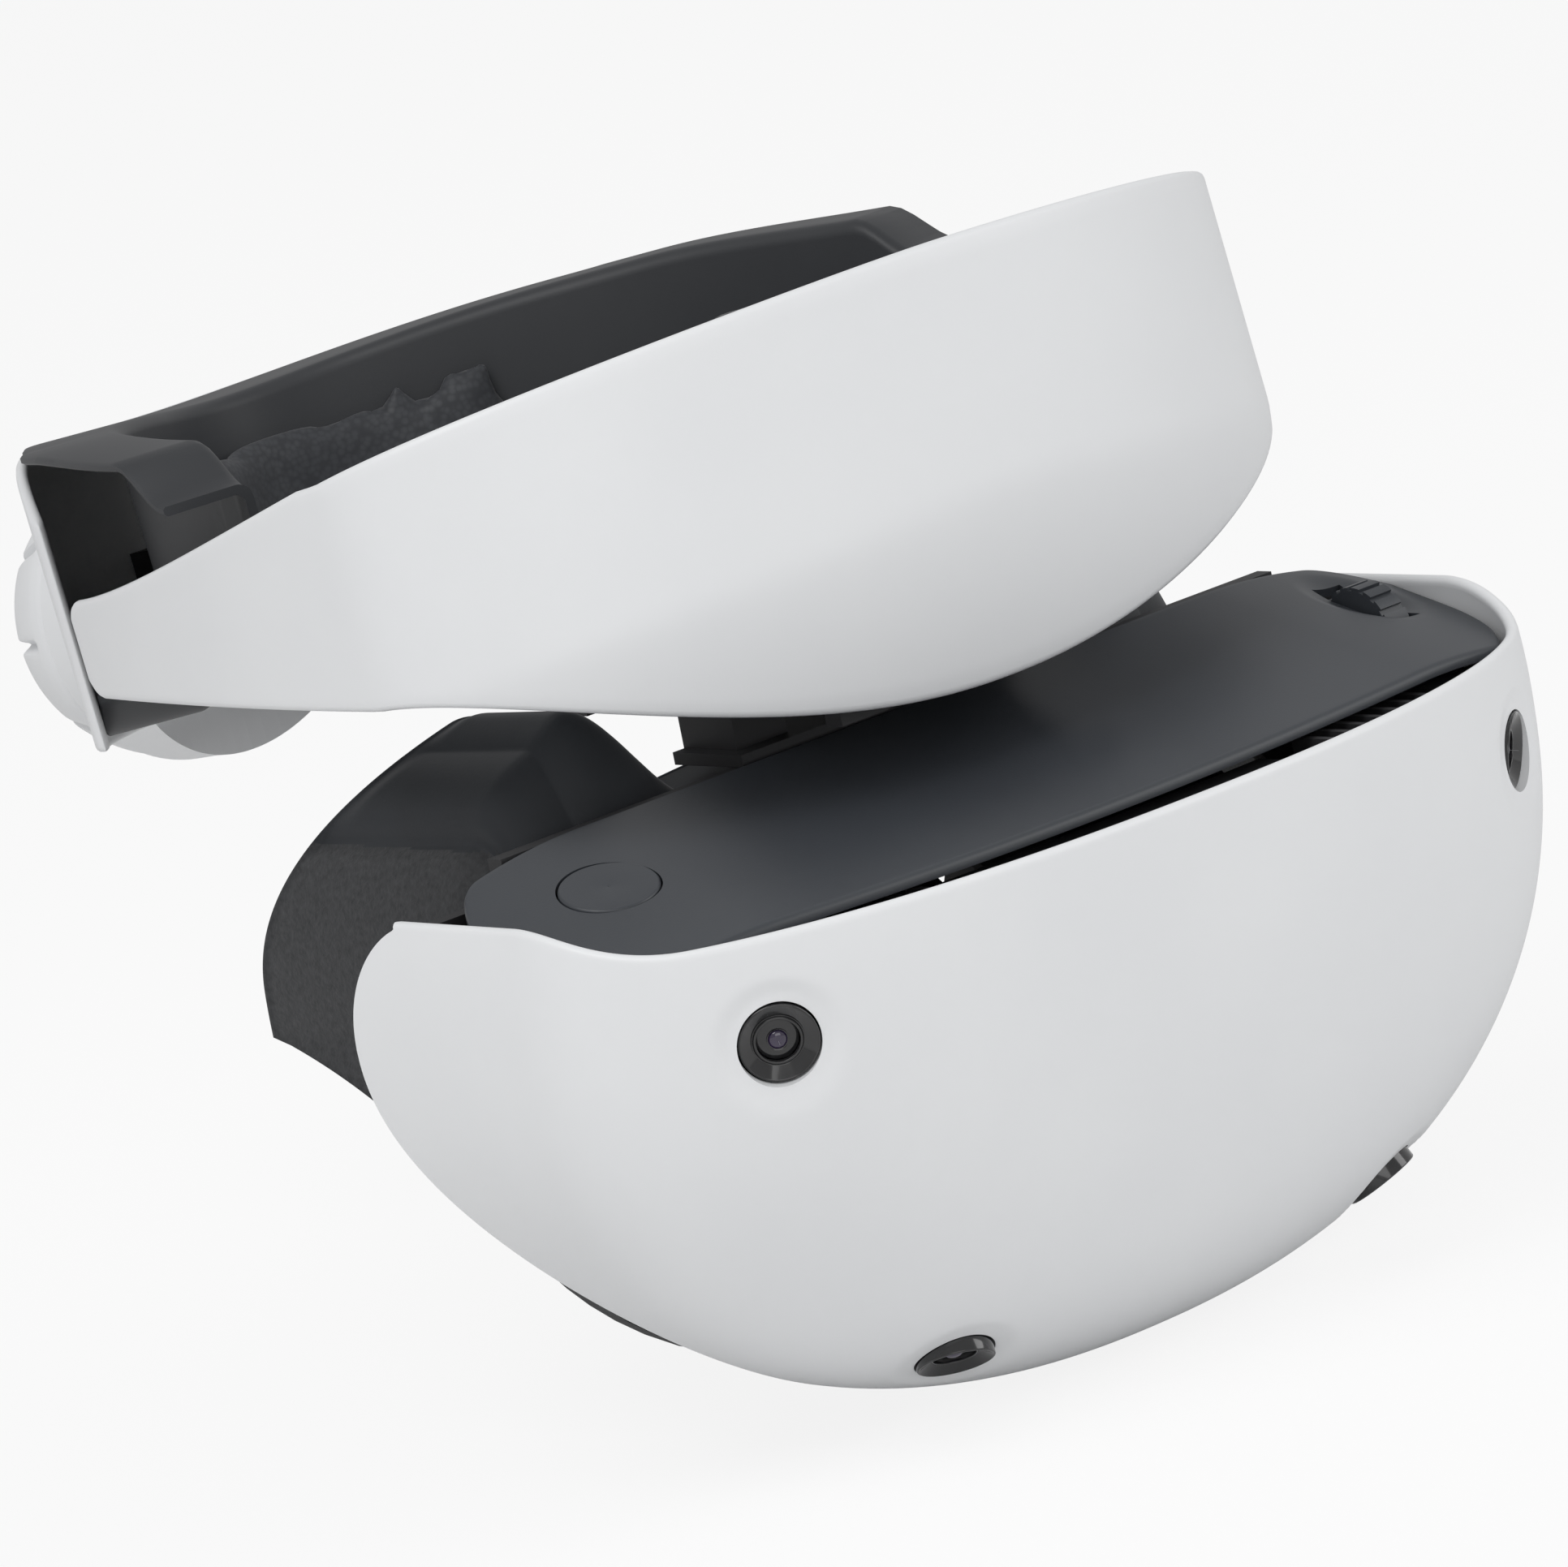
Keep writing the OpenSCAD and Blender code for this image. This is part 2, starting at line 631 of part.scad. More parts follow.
frame_z = [-58, 23];
carriage_z = 29.3;
module shield_frame() {
    color([0.08, 0.08, 0.08]) place()
        translate([0, frame_y + frame_t, 0]) rotate([90, 0, 0]) difference() {
            linear_extrude(height = frame_t) difference() {
                union() {
                    polygon(wall_ring(shell_wall + 0.8, frame_z[0], frame_z[1], 20));
                    translate([-86, 15]) square([172, carriage_z - 15.1]);
                }
                polygon(wall_ring(22, -46, 14, 16));
                translate([-60, 0]) square([120, 22]);
            }
            for (s = [-1, 1], p = post_spots)
                translate([s * p[0], p[1], -1]) cylinder(h = frame_t + 2, r = 1.5, $fn = round_steps);
        }
}

module visor_screws() {
    color("silver") place()
        for (s = [-1, 1], p = post_spots) {
            rod_y(s * p[0], p[1], frame_y, frame_y + frame_t, 1.5);
            rod_y(s * p[0], p[1], frame_y + frame_t, frame_y + frame_t + 1.2, 2.6);
        }
}

// soft shield: loops round the face, reaching furthest back at the temples
shield_base = frame_y + frame_t + 0.1;
function shield_edge(q) =
    let (c = cos(q), s = sin(q), off = pow(abs(s), 0.8))
    s < 0 ? 77 + 43 * exp(-50 * off / 14)
    : 80 + 41 * max(0, 1 - pow(max(0, 59 * off - 8) / 45, 2)) * smooth((abs(c) - 0.3) / 0.35);
function shield_spot(q, v, o) =
    let (c = cos(q), s = sin(q), y = shield_base + (shield_edge(q) - shield_base) * v,
        shoulder = smooth(3 * v) * smooth((abs(c) - 0.36) / 0.3),
        w = 81 + 7 * v - o, up = 30 + 29 * shoulder - o, dn = 46 + 4 * v - o,
        notch = s < 0 ? 20 * pow(abs(s), 8) * smooth(v * 2) : 0)
    [w * keep_sign(c, 0.8), y, -3 + (s > 0 ? up : dn - notch) * keep_sign(s, 0.8)];
shield_wall = 1.6;
shield_lip = 9;
module light_shield() {
    steps = 56;
    k = 6;
    color([0.1, 0.1, 0.1]) place()
        skin([for (i = [0:steps - 1])
            let (q = 360 * i / steps)
            concat(
                [for (j = [0:k]) shield_spot(q, j / k, 0)],
                [shield_spot(q, 1.02, shield_lip)],
                [shield_spot(q, 0.97, shield_lip)],
                [for (j = [k:-1:0]) shield_spot(q, j / k * 0.98, shield_wall)])], ring = true);
}

carriage_y0 = 58.5;
carriage_y1 = 72;
module slide_carriage() {
    color("dimgray") place() {
        difference() {
            for (s = [-1, 1])
                box([s * rod_x - 5.5, carriage_y0, carriage_z + 2.1], [s * rod_x + 5.5, carriage_y1, 43.8]);
            for (s = [-1, 1])
                rod_y(s * rod_x, rod_z, carriage_y0 - 1, carriage_y1 + 1, rod_r + run_gap);
        }
        box([-rod_x - 8, frame_y, carriage_z], [rod_x + 8, carriage_y1, carriage_z + 2.1]);
    }
}

board_y = 22;
board_t = 1.6;
board_spots = [[64, -8], [44, -44]];
module main_board() {
    color("darkgreen") place() {
        box([-70, board_y, -34], [70, board_y + board_t, 4]);
        box([-48, board_y, -48], [48, board_y + board_t, -34]);
        for (s = [-1, 1]) box([s * 36 - 8, board_y - 1.8, -10], [s * 36 + 8, board_y, 2]);
        box([-10, board_y - 2.4, -46], [10, board_y, -42]);
    }
}

module heatsink() {
    color("silver") place() {
        box([-44, 8, 1.4], [-28, board_y - 1.8, 3]);
        for (i = [0:5]) box([-44 + i * 2.9, 8, 3], [-42.8 + i * 2.9, board_y - 2, 4.8]);
        box([28, 8, 1.4], [44, board_y - 1.8, 3]);
        for (i = [0:5]) box([28 + i * 2.9, 8, 3], [29.2 + i * 2.9, board_y - 2, 4.8]);
        box([-44, board_y - 3.4, -10], [-28, board_y - 1.8, 1.4]);
        box([28, board_y - 3.4, -10], [44, board_y - 1.8, 1.4]);
    }
}

fan_r = 17;
fan_z = -18;
fan_y = 8;
module fan_housing() {
    color("black") place() difference() {
        rod_y(0, fan_z, fan_y, board_y - 0.05, fan_r + 3);
        rod_y(0, fan_z, fan_y + 1.6, board_y - 1.8, fan_r + 1);
        rod_y(0, fan_z, fan_y - 1, fan_y + 3, 10);
        box([-9, fan_y + 2, fan_z + 12], [9, board_y - 3, fan_z + fan_r + 4]);
        rod_y(0, fan_z, board_y - 2.5, board_y + 1, 1.2 + run_gap);
    }
}

module fan_rotor() {
    color("dimgray") place() {
        rod_y(0, fan_z, fan_y + 2.4, board_y - 3, 7);
        rod_y(0, fan_z, board_y - 3, board_y - 0.3, 1.2);
        for (i = [0:10]) translate([0, 0, fan_z]) rotate([0, i * 360 / 11, 0])
            box([6.5, fan_y + 2.4, -0.5], [fan_r, board_y - 3.4, 0.5]);
    }
}

module proximity_sensor() {
    color("black") place() {
        box([-7, frame_y, 19.4], [7, frame_y + 4.6, 21.95]);
        box([-3, frame_y + 4.6, 19.9], [3, frame_y + 5.2, 21.4]);
    }
}

cover_z = -62;
module bottom_cover() {
    color([0.1, 0.1, 0.1]) place() difference() {
        translate([0, 0, cover_z]) linear_extrude(height = 2.4) difference() {
            polygon([[-50, bulkhead_y + bulkhead_t + 0.2], [50, bulkhead_y + bulkhead_t + 0.2],
                [46, 44], [32, frame_y + frame_t], [16, frame_y + frame_t], [7, 45],
                [-7, 45], [-16, frame_y + frame_t], [-32, frame_y + frame_t], [-46, 44]]);
            for (s = [-1, 1]) translate([s * key_x, key_y]) circle(r = key_r + 0.2, $fn = round_steps);
        }
    }
    color([0.1, 0.1, 0.1]) place() {
        for (s = [-1, 1]) box([s * 24 - 6, frame_y, cover_z + 2.4], [s * 24 + 6, frame_y + frame_t, -58.1]);
        box([-24, bulkhead_y + bulkhead_t + 0.2, cover_z + 7.2], [24, key_y + 5, cover_z + 9.2]);
        for (s = [-1, 1])
            box([s * 23 - 1.5, bulkhead_y + bulkhead_t + 0.2, cover_z + 2.4], [s * 23 + 1.5, key_y + 5, cover_z + 7.2]);
    }
}

key_x = 12;
key_y = 40;
key_r = 3;
module key(s) {
    color("gray") place() translate([s * key_x, key_y, cover_z - 1]) {
        cylinder(h = 3.6, r = key_r, $fn = round_steps);
        translate([0, 0, 3.6]) cylinder(h = 1.2, r = key_r + 1.4, $fn = round_steps);
    }
}

// ---------- lenses ----------

barrel_y0 = 38;
barrel_y1 = 63;
nut_w = 8;
screw_r = 2;
module lens_barrel(s) {
    color("black") place() difference() {
        union() {
            translate([s * eye_x, barrel_y0, eye_z]) rotate([-90, 0, 0]) rotate_extrude($fn = round_steps)
                polygon([[barrel_r - 4, 0], [barrel_r, 0], [barrel_r, barrel_y1 - barrel_y0 - 2],
                    [barrel_r - 2, barrel_y1 - barrel_y0], [lens_r, barrel_y1 - barrel_y0],
                    [lens_r, barrel_y1 - barrel_y0 - 4], [barrel_r - 4, barrel_y1 - barrel_y0 - 7]]);
            box([s * eye_x - nut_w / 2, screw_y - 3.4, eye_z + barrel_r - 0.8],
                [s * eye_x + nut_w / 2, screw_y + 3.4, screw_z + 3.4]);
        }
        rod_x_axis(screw_y, screw_z, s * eye_x - nut_w, s * eye_x + nut_w, screw_r + run_gap);
    }
}

lens_r = 21.6;
module lens(s) {
    color([0.7, 0.8, 0.9, 0.5]) place() translate([s * eye_x, barrel_y1 - 4, eye_z]) rotate([-90, 0, 0])
        rotate_extrude($fn = round_steps)
            polygon([[0, -2], [lens_r, 0], [lens_r, 3], [16, 4.4], [9, 5.2], [0, 5.6]]);
}

module display(s) {
    color([0.05, 0.05, 0.08]) place() {
        box([s * eye_x - 15.5, barrel_y0 - 1.4, eye_z - 15.5],
            [s * eye_x + 15.5, barrel_y0 - 0.2, eye_z + 15.5]);
        rod_y(s * eye_x, eye_z, barrel_y0 - 0.2, barrel_y0, barrel_r - 1);
    }
}

wheel_x = 90;
wheel_t = 5;
wheel_r = 8.2;
module ipd_dial() {
    color([0.12, 0.12, 0.13]) place() difference() {
        rod_x_axis(screw_y, screw_z, wheel_x - wheel_t / 2, wheel_x + wheel_t / 2, wheel_r);
        rod_x_axis(screw_y, screw_z, wheel_x - wheel_t, wheel_x + wheel_t, screw_r);
        for (i = [0:17]) translate([wheel_x, screw_y, screw_z]) rotate([i * 20, 0, 0])
            box([-wheel_t, -0.5, wheel_r - 0.6], [wheel_t, 0.5, wheel_r + 1]);
    }
}

module ipd_screw() {
    color("silver") place()
        rod_x_axis(screw_y, screw_z, -lug_x - 4, wheel_x + wheel_t / 2, screw_r);
}

forehead_shell();
band_frame();
forehead_pad();
arm_liner(1);  // arm_liner_left
arm_liner(-1);  // arm_liner_right
strap(1);  // strap_left
strap(-1);  // strap_right
slide_bracket();
slide_rods();
bracket_screws();
rumble_motor();
rear_shell();
rear_liner();
rear_pad();
gear_case();
dial_base();
cable_gland();
headphone_socket();
rear_screws();
adjust_dial();
dial_pinion();
release_button();
front_shell();
top_panel();
vent_fins();
vent_deck();
chassis();
shield_frame();
light_shield();
slide_carriage();
main_board();
heatsink();
fan_housing();
fan_rotor();
bezel(1, 0);  // bezel_upper_left
bezel(-1, 0);  // bezel_upper_right
bezel(1, 1);  // bezel_lower_left
bezel(-1, 1);  // bezel_lower_right
camera(1, 0);  // camera_upper_left
camera(-1, 0);  // camera_upper_right
camera(1, 1);  // camera_lower_left
camera(-1, 1);  // camera_lower_right
proximity_sensor();
bottom_cover();
scope_switch();
visor_screws();
lens_barrel(1);  // lens_barrel_left
lens(1);  // lens_left
display(1);  // display_left
lens_barrel(-1);  // lens_barrel_right
lens(-1);  // lens_right
display(-1);  // display_right
ipd_dial();
ipd_screw();
scope_button();
key(-1);  // power_button
key(1);  // function_button
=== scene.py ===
# %% [markdown]
# A virtual reality headset: a halo band that rests on the forehead and the back of the head, and a
# visor that hangs from it on two rods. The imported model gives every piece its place. The outer shells
# are skinned again here at a finer step, and the soft pads are puffed up with a cloth simulation.

# %% Load the fixed frame
import json
import math
import bpy
import bmesh
import numpy as np
from mathutils import Matrix, Vector


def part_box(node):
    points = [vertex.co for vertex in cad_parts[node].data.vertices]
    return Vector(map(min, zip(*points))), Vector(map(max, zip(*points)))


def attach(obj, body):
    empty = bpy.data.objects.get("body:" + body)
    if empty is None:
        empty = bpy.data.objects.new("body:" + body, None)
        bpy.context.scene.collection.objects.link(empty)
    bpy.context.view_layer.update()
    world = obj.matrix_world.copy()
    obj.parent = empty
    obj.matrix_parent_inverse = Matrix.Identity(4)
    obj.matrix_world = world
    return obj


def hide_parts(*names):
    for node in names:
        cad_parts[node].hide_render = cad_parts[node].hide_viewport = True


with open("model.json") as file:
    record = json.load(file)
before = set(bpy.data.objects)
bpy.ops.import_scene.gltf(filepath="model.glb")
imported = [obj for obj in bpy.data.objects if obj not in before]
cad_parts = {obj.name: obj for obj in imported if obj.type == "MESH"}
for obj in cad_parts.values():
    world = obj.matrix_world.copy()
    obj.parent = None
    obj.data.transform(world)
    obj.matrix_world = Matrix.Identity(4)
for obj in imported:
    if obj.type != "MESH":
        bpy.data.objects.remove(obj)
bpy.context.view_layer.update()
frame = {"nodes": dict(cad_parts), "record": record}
nodes = frame["nodes"]

# %% [markdown]
# Every length below is in millimetres, as a maker would write it. `seat` takes a point from the visor's
# own drawing to the row frame in metres, and `band` does the same for the tilted headband.

# %% Two drawing frames
EYE_Y, EYE_Z, TILT = 60.0, -12.0, math.radians(7.9)


def seat(p):
    p = np.asarray(p, float)
    return (p - np.array([0.0, EYE_Y, EYE_Z])) / 1000


def band(p):
    p = np.asarray(p, float)
    c, s = math.cos(TILT), math.sin(TILT)
    x, y, z = p[..., 0], p[..., 1], p[..., 2]
    return seat(np.stack([x, y * c + z * s, -y * s + z * c], -1))


def smooth(u):
    u = np.clip(u, 0, 1)
    return u * u * (3 - 2 * u)


def keep_sign(v, e):
    return np.sign(v) * np.abs(v) ** e


print("band tilt", round(math.degrees(TILT), 1))

# %% [markdown]
# Shader maths reads best as sums. `Val` wraps a socket, so `mask * 0.3 + 0.2` adds its own Math nodes,
# and `Finish.node` makes any other node from its type, its settings and its inputs.

# %% A small way to write shaders


class Val:
    def __init__(self, finish, socket):
        self.finish, self.socket = finish, socket

    def math(self, operation, *others):
        inputs = {i: v for i, v in enumerate([self, *others])}
        return self.finish.node("ShaderNodeMath", {"operation": operation}, inputs)

    def __add__(self, other):
        return self.math("ADD", other)

    def __sub__(self, other):
        return self.math("SUBTRACT", other)

    def __rsub__(self, other):
        return self.finish.node("ShaderNodeMath", {"operation": "SUBTRACT"}, {0: other, 1: self})

    def __mul__(self, other):
        return self.math("MULTIPLY", other)

    __radd__ = __add__
    __rmul__ = __mul__


class Finish:
    """One material: a Principled shader, the object's own coordinates and what is hung on them."""

    def __init__(self, name, **fixed):
        self.material = bpy.data.materials.new(name)
        self.material.use_nodes = True
        self.tree = self.material.node_tree
        self.tree.nodes.clear()
        self.out = self.tree.nodes.new("ShaderNodeOutputMaterial")
        self.shader = self.tree.nodes.new("ShaderNodeBsdfPrincipled")
        self.tree.links.new(self.shader.outputs[0], self.out.inputs[0])
        self.place = self.node("ShaderNodeTexCoord", out="Object")
        for key, value in fixed.items():
            self.shader.inputs[key.replace("_", " ")].default_value = value

    def node(self, kind, settings=None, inputs=None, out=0):
        n = self.tree.nodes.new(kind)
        for key, value in (settings or {}).items():
            if key == "stops":
                ramp = n.color_ramp.elements
                while len(ramp) < len(value):
                    ramp.new(0.5)
                for e, (at, colour) in zip(ramp, value):
                    e.position, e.color = at, (*colour, 1)
            else:
                setattr(n, key, value)
        for key, value in (inputs or {}).items():
            if isinstance(value, Val):
                self.tree.links.new(value.socket, n.inputs[key])
            else:
                n.inputs[key].default_value = value
        return Val(self, n.outputs[out])

    def feed(self, name, value):
        self.tree.links.new(value.socket, self.shader.inputs[name])

    def noise(self, scale, detail=3.0, stretch=(1, 1, 1)):
        at = self.node("ShaderNodeMapping", {}, {"Vector": self.place, "Scale": stretch})
        return self.node("ShaderNodeTexNoise", {}, {"Vector": at, "Scale": scale, "Detail": detail})

    def spots(self, scale, feature="F1", out="Distance"):
        return self.node("ShaderNodeTexVoronoi", {"feature": feature},
                         {"Vector": self.place, "Scale": scale}, out)

    def tint(self, amount, dark, light):
        return self.node("ShaderNodeValToRGB", {"stops": [(0.3, dark), (0.7, light)]}, {"Fac": amount},
                         "Color")

    def bump(self, height, strength, distance):
        return self.node("ShaderNodeBump", {}, {"Height": height, "Strength": strength,
                                                "Distance": distance}, "Normal")


finishes = {}
print("shader helper ready")

# %% [markdown]
# Moulded white plastic. The real shells come from a spark-eroded mould, so the surface has a very fine
# even grain. Two noises do it: a fine one for the grain, and a broad one that moves the gloss a little.

# %% White shell plastic


def moulded(name, dark, light, rough, grain=0.06, scale=2600.0, **fixed):
    f = Finish(name, **fixed)
    broad, fine = f.noise(22.0), f.noise(scale, 2.0)
    f.feed("Base Color", f.tint(broad, dark, light))
    f.feed("Roughness", broad * 0.08 + (rough - 0.04) + fine * 0.02)
    f.feed("Normal", f.bump(fine, grain, 0.00012))
    finishes[name] = f.material
    return f


moulded("white_shell", (0.765, 0.775, 0.79), (0.79, 0.8, 0.812), 0.42)
moulded("pale_grey", (0.62, 0.63, 0.65), (0.66, 0.67, 0.685), 0.4)
moulded("rear_liner", (0.021, 0.023, 0.027), (0.03, 0.032, 0.036), 0.5, 0.1)
moulded("black_plastic", (0.014, 0.014, 0.016), (0.022, 0.022, 0.024), 0.55, 0.12)
moulded("strap_plastic", (0.04, 0.041, 0.045), (0.055, 0.056, 0.06), 0.6, 0.15)
print(sorted(finishes))

# %% [markdown]
# The dark top panel is a satin, slightly blue plastic: a deep base with a fine grain, so that the
# light from above turns to a broad soft patch and not a mirror image.

# %% Dark satin panel
moulded("dark_panel", (0.034, 0.038, 0.045), (0.042, 0.047, 0.055), 0.4, 0.1, 3200.0)

# %% [markdown]
# Soft black surfaces: the light shield is silicone rubber with a dusty sheen, and the pads wear a
# pressed grain of small cells, which a Voronoi texture gives as a bump and as a little colour.

# %% Rubber and pad skin
rubber = Finish("shield_rubber", Sheen_Weight=0.3, Sheen_Roughness=0.5, Specular_IOR_Level=0.35)
specks = rubber.noise(900.0, 4.0)
rubber.feed("Base Color", rubber.tint(specks, (0.014, 0.015, 0.017), (0.036, 0.037, 0.04)))
rubber.feed("Roughness", specks * 0.2 + 0.5)
rubber.feed("Normal", rubber.bump(rubber.noise(1500.0, 3.0), 0.3, 0.0003))
finishes["shield_rubber"] = rubber.material

bellows = Finish("shield_bellows", Sheen_Weight=0.2, Sheen_Roughness=0.5, Specular_IOR_Level=0.35)
dust = bellows.noise(60.0, 5.0)
bellows.feed("Base Color", bellows.tint(dust, (0.013, 0.015, 0.019), (0.02, 0.023, 0.028)))
bellows.feed("Roughness", dust * 0.15 + 0.5)
bellows.feed("Normal", bellows.bump(bellows.noise(1800.0, 2.0), 0.08, 0.0002))
finishes["shield_bellows"] = bellows.material

skin = Finish("pad_skin", Sheen_Weight=0.15, Sheen_Roughness=0.45, Specular_IOR_Level=0.4)
cells = skin.spots(900.0)
skin.feed("Base Color", skin.tint(cells, (0.036, 0.039, 0.045), (0.026, 0.028, 0.033)))
skin.feed("Roughness", cells * 0.2 + 0.48)
skin.feed("Normal", skin.bump(cells + skin.noise(1400.0) * 0.3, 0.16, 0.0002))
finishes["pad_skin"] = skin.material
print("soft skins", len(finishes))

# %% [markdown]
# Gloss black, metals, board and glass. Machined metal has fine lines along one way, so its noise is
# stretched; the board carries copper tracks under green resist, drawn by a squared-up Voronoi.

# %% Gloss, metal, board and glass
gloss = Finish("gloss_black", Coat_Weight=0.6, Coat_Roughness=0.05)
gloss_marks = gloss.noise(400.0)
gloss.feed("Base Color", gloss.tint(gloss_marks, (0.006, 0.006, 0.007), (0.01, 0.01, 0.011)))
gloss.feed("Roughness", gloss_marks * 0.06 + 0.12)
finishes["gloss_black"] = gloss.material


def metal(name, colour, rough, stretch):
    f = Finish(name, Metallic=1.0)
    lines = f.noise(260.0, 4.0, stretch)
    f.feed("Base Color", f.tint(lines, tuple(0.85 * c for c in colour), colour))
    f.feed("Roughness", lines * 0.16 + rough)
    f.feed("Normal", f.bump(lines, 0.06, 0.0001))
    finishes[name] = f.material


metal("steel", (0.6, 0.6, 0.62), 0.2, (6, 0.3, 6))
metal("alloy", (0.68, 0.69, 0.71), 0.3, (1, 6, 1))
metal("brass", (0.78, 0.6, 0.28), 0.25, (6, 0.3, 6))

board = Finish("circuit_board")
tracks = board.node("ShaderNodeTexVoronoi", {"distance": "MANHATTAN", "feature": "F1"},
                    {"Vector": board.place, "Scale": 240.0}, "Distance")
board.feed("Base Color", board.tint(tracks, (0.005, 0.05, 0.025), (0.012, 0.1, 0.045)))
board.feed("Roughness", tracks * 0.2 + 0.35)
finishes["circuit_board"] = board.material

screen = Finish("display_glass", Coat_Weight=0.8, Coat_Roughness=0.03)
screen.feed("Base Color", screen.tint(screen.noise(90.0), (0.004, 0.004, 0.008), (0.008, 0.007, 0.014)))
screen.feed("Roughness", screen.noise(30.0) * 0.05 + 0.08)
finishes["display_glass"] = screen.material

glass = Finish("lens_glass", Transmission_Weight=0.92, IOR=1.49, Coat_Weight=0.5, Coat_Roughness=0.02)
glass.feed("Base Color", glass.tint(glass.noise(20.0), (0.82, 0.86, 0.9), (0.86, 0.88, 0.93)))
glass.feed("Roughness", glass.noise(12.0) * 0.03 + 0.02)
finishes["lens_glass"] = glass.material

eye = Finish("camera_glass", Coat_Weight=1.0, Coat_Roughness=0.02)
eye.feed("Base Color", eye.tint(eye.noise(70.0), (0.012, 0.006, 0.03), (0.03, 0.012, 0.06)))
eye.feed("Roughness", eye.noise(50.0) * 0.05 + 0.05)
finishes["camera_glass"] = eye.material
print(len(finishes), "finishes")

# %% [markdown]
# The parts kept from the CAD get their finishes by the record's own slots. Nothing about their shape
# changes: only the material in each object's slot does.

# %% Dress the carried-over parts
for part in frame["record"]["subparts"]:
    piece = nodes[part["node"]]
    piece.data.materials.clear()
    piece.data.materials.append(finishes[part["material_slot"]])
print("dressed", len(nodes))

# %% [markdown]
# `loft` skins equal closed loops of points into one closed piece. Every outer shell is a set of such
# loops: a wall's outside, a rounded lip, its inside, and a rounded lip again.

# %% Skinning helper


def make(name, points, faces, finish, recalc=True):
    mesh = bpy.data.meshes.new(name)
    mesh.from_pydata([tuple(p) for p in points], [], faces)
    if recalc:
        b = bmesh.new()
        b.from_mesh(mesh)
        bmesh.ops.remove_doubles(b, verts=b.verts, dist=1e-7)
        bmesh.ops.recalc_face_normals(b, faces=b.faces)
        b.to_mesh(mesh)
        b.free()
    mesh.shade_smooth()
    obj = bpy.data.objects.new(name, mesh)
    bpy.context.scene.collection.objects.link(obj)
    mesh.materials.append(finishes[finish])
    return obj


def loft(name, rows, finish, ring=False):
    rows = np.asarray(rows)
    m, n = rows.shape[:2]
    faces = []
    for i in range(m if ring else m - 1):
        k = (i + 1) % m
        faces += [(i * n + j, i * n + (j + 1) % n, k * n + (j + 1) % n, k * n + j) for j in range(n)]
    if not ring:
        faces += [tuple(range(n)), tuple(range((m - 1) * n, m * n))]
    return make(name, rows.reshape(-1, 3), faces, finish)


def sharpen(obj, angle=35):
    obj.data.set_sharp_from_angle(angle=math.radians(angle))
    return obj


def finish_piece(obj, body, slot, *replaced):
    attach(obj, body)
    if replaced:
        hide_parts(*replaced)
    print(obj.name, len(obj.data.polygons), "faces on", body)
    return obj


def wall_section(low, high, wall, levels, lip=5):
    """(height, depth) round a wall's cut face: outside up, rounded lip, inside down, rounded lip."""
    r = wall / 2
    pts = [(low + r + (high - low - wall) * j / levels, 0.0) for j in range(levels + 1)]
    pts += [(high - r + r * math.cos(a), r + r * math.sin(a))
            for a in np.linspace(-math.pi / 2, math.pi / 2, lip + 2)[1:-1]]
    pts += [(high - r - (high - low - wall) * j / levels, wall) for j in range(levels + 1)]
    pts += [(low + r - r * math.cos(a), r - r * math.sin(a))
            for a in np.linspace(-math.pi / 2, math.pi / 2, lip + 2)[1:-1]]
    return pts


print("section points", len(wall_section(0, 10, 2, 4)))

# %% [markdown]
# The band's plan is a superellipse, a little blunter in front than behind. The forehead plate and its
# two arms are one wall along it. Its top edge falls and its bottom edge rises towards the ears.

# %% Plan of the headband
HALF, FRONT, REAR, MID = 94.4, 48.4, 167.4, 59.5


def band_point(t, o, h):
    a = math.radians(t)
    c, s = math.cos(a), math.sin(a)
    reach, e = (FRONT, 2 / 2.06) if c > 0 else (REAR, 2 / 1.95)
    return [(HALF - o) * keep_sign(s, e), MID - (reach - o) * keep_sign(c, e), h]


def plate_top(t):
    a = abs(t)
    if a < 92:
        return 110 - 9 * (a / 92) ** 1.6
    return 101 - 12 * math.sin(math.radians(90 * min(1, (a - 92) / 38.5)))


def plate_low(t):
    a = abs(t)
    if a < 90:
        return 39 + 25 * math.sin(math.radians(a)) ** 2
    return 64 + 8 * math.sin(math.radians(90 * min(1, (a - 90) / 40)))


def tuck(t, h):
    crease = 70 - 5 * min(1, abs(t) / 60)
    if h > crease:
        return 0.0
    return 8 * ((crease - h) / 30) ** 1.3 * (1 - min(1, max(0, (abs(t) - 60) / 50)))


print("plate heights", plate_top(0), plate_low(0))

# %% Forehead plate and arms
ARM = 130.5


def plate_rows(count=220):
    rows = []
    turns = ARM * np.sin(np.linspace(-math.pi / 2, math.pi / 2, count))
    for t in turns:
        near = (ARM - abs(t)) * 1.6
        corner = 5.5
        cut = corner - math.sqrt(max(0, corner ** 2 - max(0, corner - near) ** 2)) if near < corner else 0
        thin = math.sqrt(max(0.02, 1 - max(0, 1 - near / 1.1) ** 2)) if near < 1.1 else 1
        section = wall_section(plate_low(t) + cut, plate_top(t) - cut * 0.8, 2.2, 26)
        rows.append([band_point(t, tuck(t, h) + 1.1 + (o - 1.1) * thin, h) for h, o in section])
    return band(np.array(rows))


forehead = loft("forehead_plate", plate_rows(), "white_shell")
finish_piece(forehead, "front_band", "white_shell", "forehead_shell")

# %% [markdown]
# The rear cradle: a white outer shell, and inside it a dark liner that runs forward past the shell and
# holds the rear pad. The liner is a channel: an inner wall, a top lip and a bottom lip.

# %% Rear shell and liner
CRADLE, LINER = 44.0, 73.0


def top_of(a):
    return 111.5 + 2.2 * smooth(a / 40) - 12 * min(1, a / CRADLE) ** 7


